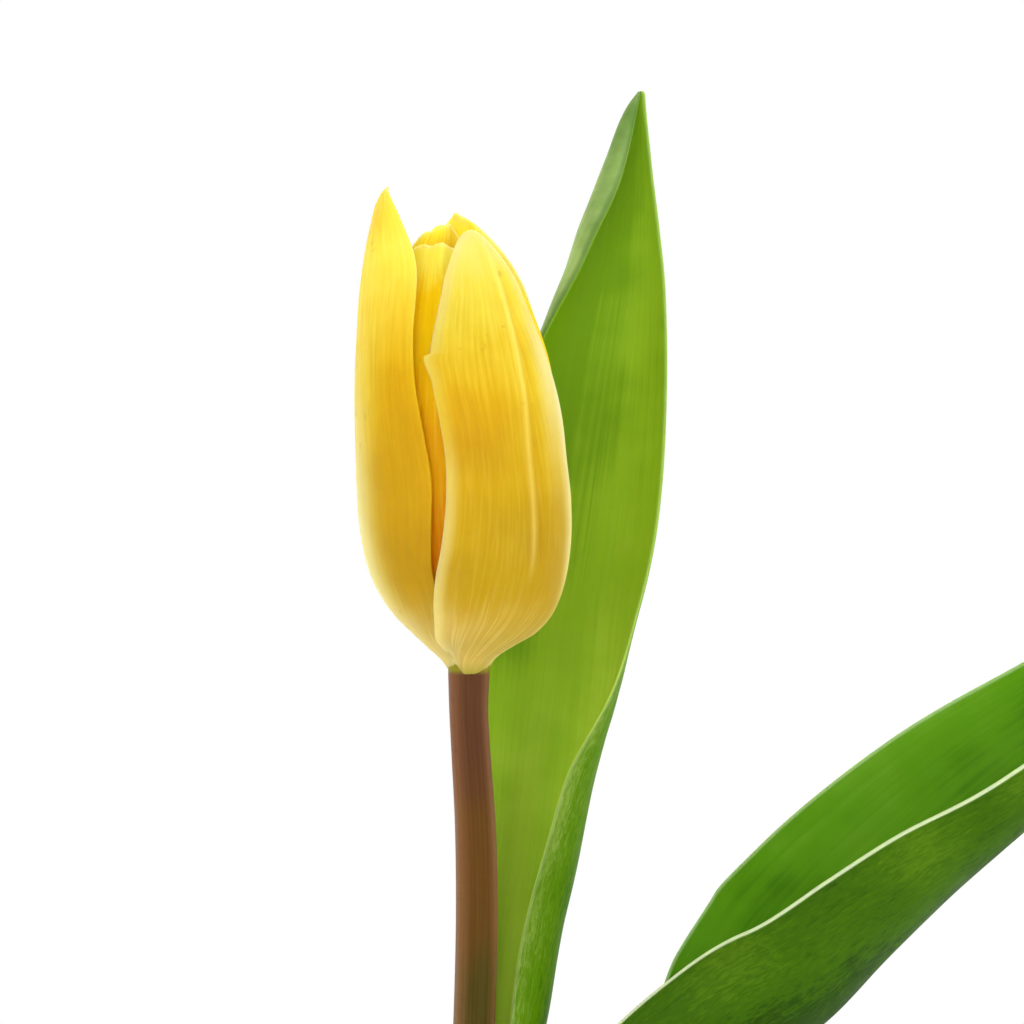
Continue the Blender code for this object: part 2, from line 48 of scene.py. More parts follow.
# The vase and its water; a profile is given as radius and height
VASE_HEIGHT = 150.0
VASE_WALL = 2.6
VASE_FLOOR = 8.0
VASE_PROFILE = [(23.0, 0.0), (25.0, 1.0), (31.0, 10.0), (35.2, 22.0), (36.45, 34.0), (35.2, 47.0),
                (30.6, 63.0), (23.8, 80.0), (17.6, 95.0), (13.6, 109.0), (12.2, 122.0),
                (12.7, 134.0), (14.3, 143.0), (16.4, 149.0)]
VASE_FOOT = [(23.6, 0.35), (22.8, 0.05), (21.6, 0.05), (20.4, 0.4), (18.0, 0.9), (12.0, 1.3),
             (6.0, 1.5), (0.0, 1.55)]
FLOOR_CORNER_RUN, FLOOR_CORNER_RISE = 5.0, 2.5
GLASS_TINT = (0.93, 0.97, 0.965, 1.0)
WATER_TINT = (0.985, 0.996, 0.996, 1.0)
WATER_LEVEL = 92.0
WATER_OVERLAP = 0.06  # into the glass, so that no air shows between them
WATER_CLIMB, WATER_CLIMB_REACH = 1.25, 1.1
WATER_AT_WALL = 1.1  # how far above its level the water still wets the wall

# The bloom stands on the stem's top and leans a little to the left
BLOOM_BASE = (-1.23, 0.0, 261.6)
BLOOM_TILT = math.radians(2.9)

# Stem: x, y, z of its centre and its radius, from the cut end up to under the bloom
STEM = [(4.5, 2.0, 8.45, 3.4), (3.2, 1.5, 27.0, 3.4), (-0.8, 0.8, 58.0, 3.3), (-4.6, 0.2, 92.0, 3.25),
        (-6.05, 0.0, 121.0, 3.2), (-5.2, 0.0, 142.0, 3.15), (-3.5, 0.0, 165.0, 3.05),
        (-1.75, 0.0, 188.0, 3.05), (-0.49, 0.0, 211.0, 3.08), (-0.14, 0.0, 229.7, 3.08),
        (-0.4, 0.0, 239.6, 3.0), (-1.0, 0.0, 248.9, 2.88), (-1.35, 0.0, 256.0, 2.88),
        (-1.32, 0.0, 261.0, 3.06)]
# Receptacle under the bloom: height and radius
RECEPTACLE = [(0.1, 3.1), (0.7, 3.0), (1.2, 2.75), (1.6, 2.3), (1.9, 1.6), (2.05, 0.8)]
RIBS, RIB_GROUND, RIB_DEPTH = 9.0, 0.988, 0.010
RIBS_FADE = (250.0, 235.0)  # the ribs fade out between these heights
CUT_SLANT, CUT_TURN, CUT_REACH = 0.9, 0.6, 14.0

# Petals: height and radius of the midrib's outer face, its azimuth in degrees from the front,
# and the width of the left and right half. The tip is where the taper starts and its two powers.
# A nick is its half, how far it stands out, and the heights where it starts, is full, and ends.
# A crown is the height above which rows bend up to the crest, which is given as x and height.
PETALS = {
    "petal_outer_left": {
        "keel": (4.0, 4.0), "tip": (0.80, 2.0, 0.62),
        "stations": [
            (-0.2, 3.1, -112, 2.6, 3.3), (0.8, 3.7, -110, 3.5, 4.4), (3.2, 5.9, -101, 5.6, 6.6),
            (5.6, 8.2, -93, 8, 9), (8.1, 10.5, -87, 10.5, 11.5), (11, 12.4, -83, 12.5, 13.2),
            (15.2, 14.1, -81, 14, 14.6), (20, 14.85, -81, 14.6, 15.8), (27, 15.1, -81, 14.8, 16.6),
            (34, 15.05, -81, 14.8, 15.7), (41, 14.7, -81, 14.6, 14.3), (48, 14.1, -81, 14.2, 13.5),
            (55, 13.3, -81, 13.4, 13.3), (60, 12.4, -81, 12.4, 12.4), (64.5, 11.3, -81, 11.4, 11),
            (68.2, 10.1, -81, 10, 10), (69.6, 9.2, -81, 9, 9), (70.2, 8.4, -81, 8, 8)]},
    "petal_outer_front": {
        "keel": (4.0, 0.0), "tip": (0.86, 2.0, 0.55),
        "nick": (0, 1.0, 41.0, 44.8, 45.0, 45.3),
        "stations": [
            (-0.75, 3.25, 4, 2.7, 2.7), (0.4, 4, 8, 3.6, 4), (2.6, 6.7, 22, 6.7, 7),
            (4.7, 10, 29, 9.8, 9.8), (6.9, 12.2, 34, 11.8, 11.6), (9.4, 13.6, 37, 13.3, 12.8),
            (13, 14.8, 39.5, 14.2, 13.8), (18, 15.7, 40, 13.7, 14.3), (24, 15.95, 40, 12.9, 14.3),
            (30, 15.6, 40, 12.4, 13.8), (36, 15.3, 40, 12.8, 11.5), (41, 14.7, 40, 13.2, 9.3),
            (45.6, 13.7, 40, 12.6, 7.7), (50.7, 12.2, 40, 10.4, 6), (55.8, 10.4, 40, 7.9, 4.6),
            (59.2, 8.7, 40, 6.3, 3.5), (61.8, 6.9, 40, 5.3, 3), (63.2, 5.4, 40, 4.4, 3.2)]},
    "petal_outer_back": {
        "keel": (-1.0, 1.0), "tip": (0.80, 1.6, 0.75),
        "stations": [
            (-0.3, 3.1, 128, 2.6, 2.6), (0.7, 3.7, 130, 3.4, 3.4), (2.9, 6.4, 141, 5.6, 5.6),
            (5.2, 9.2, 149, 7.7, 8), (7.6, 11.6, 154, 9.4, 10), (10.4, 13.2, 157, 10.6, 11.4),
            (14.5, 14.6, 159, 11.4, 12.6), (20, 15.5, 159, 11.8, 13.4), (27, 15.7, 159, 11.8, 13.6),
            (34, 15.4, 159, 11.6, 13.2), (41, 14.9, 159, 11.2, 12.8), (48, 14, 159, 10.4, 12),
            (54, 12.6, 159, 8.9, 11), (59, 10.6, 159, 7.4, 9.8), (62.5, 8.2, 159, 6.2, 7.8),
            (65, 5.6, 159, 5.1, 6), (66.3, 3.6, 159, 3.8, 4)]},
    "petal_inner_front": {
        "keel": (6.0, 6.0), "tip": None, "crown": (55.0, [
            (-8, 59.6), (-6.3, 60.75), (-5.2, 61.05), (-4.05, 61.35), (-3.2, 61.3), (-2.45, 61),
            (-1.75, 61.25), (-1, 61.35), (-0.15, 61.15), (0.6, 60.8), (1.6, 60.2), (2.6, 59.3)]),
        "stations": [
            (0.7, 2.35, -52, 1.9, 1.9), (2.1, 2.95, -50, 2.7, 2.7), (4, 4.7, -42, 4.5, 4.5),
            (6.4, 7, -34, 6.6, 6.6), (9, 8.9, -28, 8.6, 8.4), (12, 10.4, -23, 10, 9.6),
            (16, 11.6, -21, 11.2, 10.6), (21, 12.4, -20, 12, 11.4), (27, 12.6, -19, 12.2, 11.6),
            (33, 12.4, -18, 12, 11.4), (39, 12, -16, 11.6, 10.8), (45, 11.2, -14, 10.8, 9.8),
            (51, 10, -13, 9.6, 8.4), (56, 8.2, -12, 7.6, 6.4), (59, 7.05, -12, 6.2, 4.9),
            (60.6, 6.3, -12, 5.3, 4.2), (61.35, 5.9, -12, 4.7, 3.6)]},
    "petal_inner_right": {
        "keel": (22.0, 22.0), "tip": (0.86, 2.0, 0.5),
        "stations": [
            (0.7, 2.45, 68, 1.9, 1.9), (2.1, 3.35, 70, 2.8, 2.8), (4, 5.4, 79, 4.7, 4.7),
            (6.4, 8.3, 87, 6.8, 6.8), (9, 11, 93, 9, 9), (12, 12.8, 97, 10.4, 10.6),
            (16, 14, 99, 11.2, 11.6), (21, 14.5, 99, 11.6, 12.2), (27, 14.5, 99, 11.6, 12.4),
            (33, 14.4, 99, 11.4, 12.2), (39, 14.5, 99, 11, 11.8), (44, 14, 99, 10.4, 11.2),
            (49, 12.7, 99, 9.4, 10.2), (54, 10.7, 99, 7.8, 8.6), (58, 8.4, 99, 6.2, 6.8),
            (60.6, 5.8, 99, 5, 5.4), (61.6, 4, 99, 4, 4), (61.6, 2.8, 99, 3, 3)]},
    "petal_inner_back": {
        "keel": (8.0, 8.0), "tip": None, "crown": (58.0, [
            (-7, 59.5), (-5.2, 61.6), (-4.4, 62.8), (-3.5, 63.65), (-2.8, 63.85), (-2.5, 63.75),
            (-2.2, 64.15), (-1.8, 64.5), (-1.2, 64.65), (-0.6, 64.7), (0, 64.6), (0.2, 64.65),
            (0.45, 64.75), (0.8, 64.3), (1.75, 62.5), (2.4, 61), (3.4, 59.4)]),
        "stations": [
            (0.7, 2.35, 188, 1.9, 1.9), (2.1, 2.95, 190, 2.7, 2.7), (4, 4.7, 199, 4.5, 4.5),
            (6.4, 7, 207, 6.6, 6.6), (9, 9.3, 213, 8.6, 8.6), (12, 10.9, 217, 10, 10),
            (16, 12.3, 219, 11.2, 11.2), (21, 13, 219, 11.8, 11.8), (27, 13.25, 219, 12.2, 12.2),
            (33, 13.1, 219, 12, 12), (39, 12.75, 219, 11.6, 11.6), (45, 12.1, 218, 10.8, 10.8),
            (51, 10.8, 216, 9.6, 9.6), (56, 9.2, 213, 8, 8), (60.5, 7.4, 207, 6, 6),
            (63.2, 5.8, 202, 4.9, 4.6), (64.7, 4.9, 199, 3.9, 3.6)]},
}

# Leaves: x, y, z of the midrib, width of the left and right half, the degrees through which each
# half turns towards the inner side, and the roll of the section about the midrib
LEAVES = {
    "leaf_upright": {
        "inner_side": (0.0, -1.0, 0.0), "keel": 0.0, "power": (1.3, 1.2),
        "stations": [
            (-2, 3.95, 183, 7, 7, 105, 105, 0), (0, 5.8, 196, 7.5, 12.5, 85, 155, 0),
            (3.4, 10, 210, 8, 17, 65, 188, 0), (5.8, 15.5, 223.8, 9, 17.4, 60, 185, 0),
            (7.9, 20, 235, 10, 17.8, 55, 172, 0), (9.4, 24, 246.8, 11, 18.4, 50, 148, 0),
            (11, 26, 258.9, 12, 17.8, 50, 113, 0), (12.5, 27, 271, 13.2, 16.4, 50, 87, 0),
            (14.6, 27.5, 283, 14.8, 14.6, 60, 65, 0), (16.5, 28, 295, 16.2, 13, 80, 55, 0),
            (19.5, 28, 312.6, 16.4, 9.8, 122, 50, 0), (20.5, 28, 318.6, 15.5, 8.4, 138, 48, 0),
            (21.5, 28, 326.7, 13.9, 6.3, 159, 45, 0), (22.7, 27.5, 336.4, 9.5, 3.65, 190, 42, 0),
            (24, 27, 345.5, 3.7, 1.2, 198, 40, 0), (24.4, 27, 347.7, 0.8, 0.6, 190, 40, 0)]},
    "leaf_right": {
        "inner_side": (-1.0, 0.0, 0.6), "keel": 20.0, "power": (1.0, 1.0),
        "stations": [
            (-0.05, 0, 155.5, 8.2, 8.2, 83, 83, 0), (0.9, 0, 161.5, 8.6, 8.8, 80, 84, 0),
            (2.6, 0, 166, 9, 10.2, 77, 90, 0), (5.2, 0, 169.8, 9.2, 12, 75, 95, 0),
            (12, 0, 177, 11, 16.5, 70, 97, 0), (21, 0, 185, 12.4, 20.5, 70, 98, -1),
            (32, 0, 194.5, 15.6, 25.6, 68, 100, -4),
            (42.5, 0, 204.3, 24.5, 26.1, 63, 100, -8), (51, 0, 211.8, 26.6, 27, 55, 98, -17),
            (59.3, 0, 221.3, 24.9, 26.2, 47, 96, -26), (68.5, 0, 231, 22.6, 24.2, 40, 97, -34),
            (76, 0, 238.5, 20.2, 22.1, 33, 98, -43), (88.3, 0, 249.3, 16.3, 19.5, 27, 98, -49),
            (100.5, 0, 258.5, 13.6, 15.5, 25, 92, -52), (112, 0, 266.5, 9.5, 10.5, 25, 85, -52),
            (121, 0, 272.3, 5, 5, 25, 80, -50), (128, 0, 276.5, 0.4, 0.4, 25, 80, -50)]},
}

# Sections of petals and leaves, as in the solids
NARROWEST_HALF = 0.25
KEEL_REACH = 2.5
SHARPEST_CUP = 2.0
PETAL_TIP_CROWDING = 1.35
BASE_LIFT = (1.5, 0.7)  # how far a petal's lower corners stand above its lowest point
BASE_LIFT_END = 5.0
NICK_POWER = 9  # how near to the margin a nick stays
CROWN_DROP = (0.02, 0.08, 0.2)  # how far the corners of a crown's last rows are rounded off
LEAF_TIP_CROWDING = 1.2
SECTION_STEPS = 400

# Fineness of the visible meshes
PETAL_ROWS, PETAL_HALF_COLUMNS = 150, 34
LEAF_ROWS, LEAF_HALF_COLUMNS = 260, 48
MARGIN_CROWDING = 1.5
STEM_RINGS, STEM_SIDES = 360, 48
VASE_RINGS, TURNED_SIDES = 110, 128
PISTIL_RINGS, PISTIL_SIDES = 70, 48
STAMEN_RINGS, STAMEN_SIDES = 80, 16

# The camera stands level in front, where the photograph was taken from
CAMERA_PLACE = (4.93, -618.67, 284.24)
CAMERA_LENS = 150.0
CAMERA_SENSOR = 36.0

# Area lights, all aimed at the bloom: place and size in metres, power in watts and colour
DAYLIGHT = (1.0, 0.99, 0.97)
LIGHTS = {
    "key_front": ((-0.2, -1.35, 0.6), (0.8, 0.8), 10.2, DAYLIGHT),
    "fill_right": ((1.1, -0.9, 0.5), (0.8, 1.0), 9.0, DAYLIGHT),
    "fill_left": ((-1.2, -0.8, 0.5), (0.8, 1.0), 3.0, DAYLIGHT),
    "sky_top": ((0.0, 0.1, 1.5), (1.2, 1.2), 2.0, (1.0, 1.0, 1.0)),
}
LIGHT_TARGET = (0.0, 0.0, 0.29)
FLOOR_RADIUS = 1.5

# Light of the room by direction: from low to high, and its strength at the two
ROOM_DEPTH = (-0.45, 0.7, 0.15, 2.1)
ROOM_HEIGHT = (-1.0, 1.0, 0.55, 1.0)


def srgb(red, green, blue):
    """A colour given by its 0 to 255 screen values, as the linear colour that shaders take."""
    linear = []
    for value in (red, green, blue):
        share = value / 255.0
        linear.append(share / 12.92 if share <= 0.04045 else ((share + 0.055) / 1.055) ** 2.4)
    return (*linear, 1.0)


def smooth_step(value, low, high):
    share = np.clip((value - low) / (high - low), 0.0, 1.0)
    return share * share * (3.0 - 2.0 * share)


def bump_at(value, centre, width):
    return np.exp(-((value - centre) / width) ** 2)


def soft_noise(points, scale, seed):
    """Smooth noise between -1 and 1 at points in millimetres, with features of the given scale."""
    shift = Vector((seed * 17.3, seed * 5.1, seed * 9.7))
    flat = points.reshape(-1, 3) / scale
    values = [noise.noise(Vector(point) + shift) for point in flat]
    return np.array(values).reshape(points.shape[:-1])


def smooth_curve(stations, samples, place_columns):
    """Smooth curve through the stations at samples in 0..1, spaced by the first place_columns."""
    points = np.asarray(stations, float)
    chord = np.linalg.norm(np.diff(points[:, :place_columns], axis=0), axis=1)
    knots = np.concatenate([[0.0], np.cumsum(chord)]) / chord.sum()
    slopes = np.gradient(points, knots, axis=0)
    samples = np.asarray(samples, float)
    index = np.clip(np.searchsorted(knots, samples, side="right") - 1, 0, len(knots) - 2)
    step = (knots[index + 1] - knots[index])[:, None]
    f = (samples - knots[index])[:, None] / step
    return ((2 * f**3 - 3 * f**2 + 1) * points[index] + (f**3 - 2 * f**2 + f) * step * slopes[index]
            + (3 * f**2 - 2 * f**3) * points[index + 1] + (f**3 - f**2) * step * slopes[index + 1])


def half_section(widths, keel, turns, power, shares):
    """Side and lift of half a section at shares of its width, by adding up its heading."""
    f = np.linspace(0.0, 1.0, SECTION_STEPS + 1)
    heading = keel * np.tanh(f * widths[:, None] / KEEL_REACH) + turns[:, None] * f**power
    middle = 0.5 * (heading[:, 1:] + heading[:, :-1])
    step = widths[:, None] / SECTION_STEPS
    start = np.zeros((len(widths), 1))
    side = np.hstack([start, np.cumsum(np.cos(middle) * step, axis=1)])
    lift = np.hstack([start, np.cumsum(np.sin(middle) * step, axis=1)])
    index = np.rint(shares * SECTION_STEPS).astype(int)
    return side[:, index], lift[:, index]


def column_shares(half_columns):
    """Shares of the half width, drawn together towards the margin."""
    return 1.0 - (1.0 - np.linspace(0.0, 1.0, half_columns)) ** MARGIN_CROWDING


def both_halves(left, right, mirrored):
    """Joins the values of two halves into rows that run from the left margin to the right one."""
    sign = -1.0 if mirrored else 1.0
    return np.hstack([sign * left[:, :0:-1], right])


def whole_section(halves, shares):
    """Side, lift, distance across and share of the half width, from two halves.

    Each half is given as its side, its lift and its width.
    """
    (left_side, left_lift, left_width), (right_side, right_lift, right_width) = halves
    across = both_halves(left_width[:, None] * shares, right_width[:, None] * shares, True)
    share = np.broadcast_to(both_halves(shares[None], shares[None], True), across.shape)
    side, lift = both_halves(left_side, right_side, True), both_halves(left_lift, right_lift, False)
    return side, lift, across, share


def bloom_matrix():
    tilt = Matrix.Rotation(-BLOOM_TILT, 4, "Y")
    return Matrix.Translation(Vector(BLOOM_BASE) * MM) @ tilt


def unit(vectors):
    return vectors / np.maximum(np.linalg.norm(vectors, axis=-1, keepdims=True), 1e-9)


def surface_normals(points):
    """Unit normals of a grid of points, on the side where columns run right and rows run up."""
    return unit(np.cross(np.gradient(points, axis=1), np.gradient(points, axis=0)))


def margin_distance(points, share):
    """Distance of each grid point to the nearest side margin or to the tip, along the surface."""
    steps = np.linalg.norm(np.diff(points, axis=1), axis=2)
    from_left = np.hstack([np.zeros((len(points), 1)), np.cumsum(steps, axis=1)])
    from_right = from_left[:, -1:] - from_left
    middle = points[:, points.shape[1] // 2]
    climb = np.linalg.norm(np.diff(middle, axis=0), axis=1)
    to_tip = np.concatenate([np.cumsum(climb[::-1])[::-1], [0.0]])[:, None]
    return np.minimum(np.minimum(from_left, from_right), to_tip + 0.0 * share)


def petal_grid(petal):
    """Outer face of a petal in the bloom's own frame, with its measures, in millimetres."""
    samples = 1.0 - (1.0 - np.linspace(0.0, 1.0, PETAL_ROWS)) ** PETAL_TIP_CROWDING
    stations = smooth_curve(petal["stations"], samples, 2)
    height, radius, azimuth = stations[:, 0], stations[:, 1], np.radians(stations[:, 2])
    taper = np.ones(PETAL_ROWS)
    if petal["tip"]:
        start, first_power, second_power = petal["tip"]
        x = np.clip((samples - start) / (1.0 - start), 0.0, 1.0)
        taper = (1.0 - x**first_power) ** second_power
    shares = column_shares(PETAL_HALF_COLUMNS)
    halves = []
    for half in (0, 1):
        width = np.maximum(stations[:, 3 + half] * taper, NARROWEST_HALF)
        turn = width / np.maximum(radius, SHARPEST_CUP)
        keel = math.radians(petal["keel"][half])
        side, lift = half_section(width, keel, turn, 1.0, shares)
        if "nick" in petal and petal["nick"][0] == half:
            amount, low, full, still, high = petal["nick"][1:]
            extra = amount * smooth_step(height, low, full) * (1.0 - smooth_step(height, still, high))
            side = side + np.cos(keel + turn)[:, None] * extra[:, None] * shares**NICK_POWER
            lift = lift + np.sin(keel + turn)[:, None] * extra[:, None] * shares**NICK_POWER
        halves.append((side, lift, width))
    side, lift, across, share = whole_section(halves, shares)
    out = radius[:, None] - lift
    sine, cosine = np.sin(azimuth)[:, None], np.cos(azimuth)[:, None]
    x = out * sine + side * cosine
    y = -out * cosine + side * sine
    z = np.broadcast_to(height[:, None], x.shape).copy()
    if "crown" in petal:
        low, crest = petal["crown"]
        target = np.interp(x[-1], *np.array(crest).T)[None]
        z = np.where(z > low, low + (z - low) * (target - low) / (height[-1] - low), z)
        z[-3:] -= np.array(CROWN_DROP)[:, None] * np.abs(share[-3:]) ** 6
    lift = BASE_LIFT[0] * smooth_step(-share, 0.35, 0.9) + BASE_LIFT[1] * smooth_step(share, 0.2, 1.0)
    z += lift * (1.0 - smooth_step(height, 0.2, BASE_LIFT_END))[:, None]
    points = np.stack([x, y, z], axis=2)
    return points, {"along": z, "across": across, "share": share,
                    "margin": margin_distance(points, share)}


def leaf_grid(leaf):
    """Middle surface of a leaf with its measures, in millimetres."""
    samples = 1.0 - (1.0 - np.linspace(0.0, 1.0, LEAF_ROWS)) ** LEAF_TIP_CROWDING
    stations = smooth_curve(leaf["stations"], samples, 3)
    midrib = stations[:, :3]
    along = unit(np.gradient(midrib, axis=0))
    inner = np.array(leaf["inner_side"])
    normal = unit(inner - (along @ inner)[:, None] * along)
    right = np.cross(along, normal)
    keel = math.radians(leaf["keel"])
    shares = column_shares(LEAF_HALF_COLUMNS)
    halves = [(*half_section(stations[:, 3 + half], keel, np.radians(stations[:, 5 + half]),
                             leaf["power"][half], shares), stations[:, 3 + half]) for half in (0, 1)]
    side, lift, across, share = whole_section(halves, shares)
    roll = np.radians(stations[:, 7])[:, None]
    turned_side = side * np.cos(roll) - lift * np.sin(roll)
    turned_lift = side * np.sin(roll) + lift * np.cos(roll)
    points = (midrib[:, None] + turned_side[..., None] * right[:, None]
              + turned_lift[..., None] * normal[:, None])
    climb = np.concatenate([[0.0], np.cumsum(np.linalg.norm(np.diff(midrib, axis=0), axis=1))])
    length = np.broadcast_to(climb[:, None], across.shape)
    return points, {"along": length, "across": across, "share": share,
                    "margin": margin_distance(points, share)}


def add_object(name, data):
    made = bpy.data.objects.new(name, data)
    bpy.context.scene.collection.objects.link(made)
    return made


def finish_piece(mesh, material, node, matrix=None):
    """Makes the object, gives it its material and lets it stand for its node of the frame."""
    mesh.shade_smooth()
    mesh.materials.append(material)
    piece = add_object(mesh.name, mesh)
    if matrix is not None:
        piece.matrix_world = matrix
    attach(piece, BODY)
    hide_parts(node)


def mesh_from(name, verts, faces, fields):
    """A mesh from points in millimetres, with one named number per vertex for each field."""
    mesh = bpy.data.meshes.new(name)
    mesh.from_pydata((np.asarray(verts) * MM).tolist(), [], faces)
    for field, values in fields.items():
        layer = mesh.attributes.new(field, "FLOAT", "POINT")
        layer.data.foreach_set("value", np.asarray(values, np.float32))
    mesh.validate()
    mesh.update()
    return mesh


def tube_faces(rings, sides, start=0):
    """Faces of a closed tube: its rings of points from start on, then its first and last end."""
    index = start + np.arange(rings * sides).reshape(rings, sides)
    following = np.roll(index, -1, axis=1)
    quads = np.stack([index[:-1], following[:-1], following[1:], index[1:]], axis=-1).reshape(-1, 4)
    ends = np.full((2, sides), start + rings * sides) + [[0], [1]]
    fans = np.hstack([[following[0], index[0], ends[0]], [index[-1], following[-1], ends[1]]])
    return quads.tolist() + fans.T.tolist()


def shell_mesh(name, front, back, fields, roundness):
    """A closed thin shell between two grids of points, with a rounded rim all the way round.

    The front grid is the one whose columns run right and rows run up as seen from outside.
    """
    rows, columns = front.shape[:2]
    count = rows * columns
    index = np.arange(count).reshape(rows, columns)
    corners = [index[:-1, :-1], index[:-1, 1:], index[1:, 1:], index[1:, :-1]]
    quads = np.stack(corners, axis=-1).reshape(-1, 4)
    loop = np.concatenate([index[0, :-1], index[:-1, -1], index[-1, :0:-1], index[:0:-1, 0]])
    inward = np.concatenate([index[1, :-1], index[:-1, -2], index[-2, :0:-1], index[:0:-1, 1]])
    flat_front, flat_back = front.reshape(-1, 3), back.reshape(-1, 3)
    middle = 0.5 * (flat_front + flat_back)
    outward = unit(middle[loop] - middle[inward])
    thick = np.linalg.norm(flat_front[loop] - flat_back[loop], axis=1)[:, None]
    rim = middle[loop] + outward * thick * roundness
    verts = np.vstack([flat_front, flat_back, rim])
    a, b = loop, np.roll(loop, -1)
    rim_a = 2 * count + np.arange(len(loop))
    rim_b = np.roll(rim_a, -1)
    faces = quads.tolist() + (quads[:, ::-1] + count).tolist()
    faces += np.stack([b, a, rim_a, rim_b], axis=1).tolist()
    faces += np.stack([rim_b, rim_a, a + count, b + count], axis=1).tolist()
    values = {}
    for field, grid in fields.items():
        flat = grid.reshape(-1)
        values[field] = np.concatenate([flat, flat, flat[loop]])
    values["face"] = np.concatenate([np.zeros(count), np.ones(count), np.full(len(loop), 0.5)])
    return mesh_from(name, verts, faces, values)


class Nodes:
    """Short ways to add nodes to a tree and to set or link their inputs."""

    def __init__(self, tree):
        self.nodes, self.links = tree.nodes, tree.links

    def add(self, kind):
        return self.nodes.new(f"ShaderNode{kind}")

    def put(self, socket, value):
        if isinstance(value, bpy.types.NodeSocket):
            self.links.new(value, socket)
        else:
            socket.default_value = value

    def put_all(self, sockets, values):
        for socket, value in zip(sockets, values):
            self.put(socket, value)

    def math(self, operation, first, second):
        node = self.add("Math")
        node.operation = operation
        self.put_all(node.inputs, (first, second))
        return node.outputs[0]

    def times(self, first, second):
        return self.math("MULTIPLY", first, second)

    def plus(self, first, second):
        return self.math("ADD", first, second)

    def spread(self, value, low, high, to_low=0.0, to_high=1.0, shape="SMOOTHSTEP"):
        """Value from low to high, taken to the range from to_low to to_high."""
        node = self.add("MapRange")
        node.interpolation_type = shape
        self.put_all(node.inputs, (value, low, high, to_low, to_high))
        return node.outputs[0]


class Shader(Nodes):
    """One material's Principled shader, with noises, colours and fields read from the mesh."""

    def __init__(self, name):
        self.material = bpy.data.materials.new(name)
        self.material.use_nodes = True
        super().__init__(self.material.node_tree)
        self.principled = self.nodes["Principled BSDF"]

    def set(self, **values):
        """Sets inputs of the Principled shader; a name's underscores stand for spaces."""
        for name, value in values.items():
            self.put(self.principled.inputs[name.replace("_", " ")], value)

    def field(self, name):
        node = self.add("Attribute")
        node.attribute_name = name
        return node.outputs["Fac"]

    def noise(self, place, scale, detail, roughness, distortion=0.0):
        node = self.add("TexNoise")
        sockets = [node.inputs[name] for name in ("Vector", "Scale", "Detail", "Roughness", "Distortion")]
        self.put_all(sockets, (place, scale, detail, roughness, distortion))
        return node.outputs["Fac"]

    def spots(self, scale, detail, roughness):
        """Noise that is alike in all directions."""
        return self.noise(self.add("TexCoord").outputs["Object"], scale, detail, roughness)

    def streaks(self, across, across_scale, along_scale, detail, roughness, distortion=0.0):
        """Noise drawn out along the piece; across names its field from side to side."""
        place = self.add("CombineXYZ")
        self.put_all(place.inputs, (self.times(self.field(across), across_scale),
                                    self.times(self.field("along"), along_scale)))
        return self.noise(place.outputs[0], 1.0, detail, roughness, distortion)

    def mix(self, factor, first, second, blend="MIX"):
        node = self.add("Mix")
        node.data_type = "RGBA"
        node.blend_type = blend
        self.put_all((node.inputs[0], node.inputs[6], node.inputs[7]), (factor, first, second))
        return node.outputs[2]

    def ramp(self, value, colour, *steps):
        """Mixes in each step's colour, by value spread over the range that follows the colour."""
        for following, *reach in steps:
            colour = self.mix(self.spread(value, *reach), colour, following)
        return colour

    def bump(self, height, strength, distance):
        node = self.add("Bump")
        sockets = [node.inputs[name] for name in ("Height", "Strength", "Distance")]
        self.put_all(sockets, (height, strength, distance))
        self.put(self.principled.inputs["Normal"], node.outputs[0])


PETAL_TIP = srgb(254, 227, 112)
PETAL_LEMON = srgb(252, 217, 76)
PETAL_YELLOW = srgb(224, 187, 30)
PETAL_GOLD = srgb(196, 161, 6)
PETAL_OCHRE = srgb(178, 147, 8)
PETAL_FOOT = srgb(194, 166, 84)
# Cream of the painted sheen on margins and pale patches, and of the pale streaks near the base
PETAL_RIM = srgb(250, 228, 148)
PETAL_GREEN = srgb(150, 150, 40)
PETAL_FLECK = srgb(186, 142, 20)
INNER_LEMON = srgb(254, 231, 88)
INNER_YELLOW = srgb(248, 200, 4)
INNER_GOLD = srgb(232, 170, 0)
INNER_ORANGE = srgb(216, 136, 0)
# Deeper yellow laid on by the warm field, mostly as painted shade
WARM_TINT = srgb(247, 226, 10)
DEEP_TINT = srgb(226, 186, 90)
INNER_GLOW = 0.07  # stands for the light that comes through to the inner petals


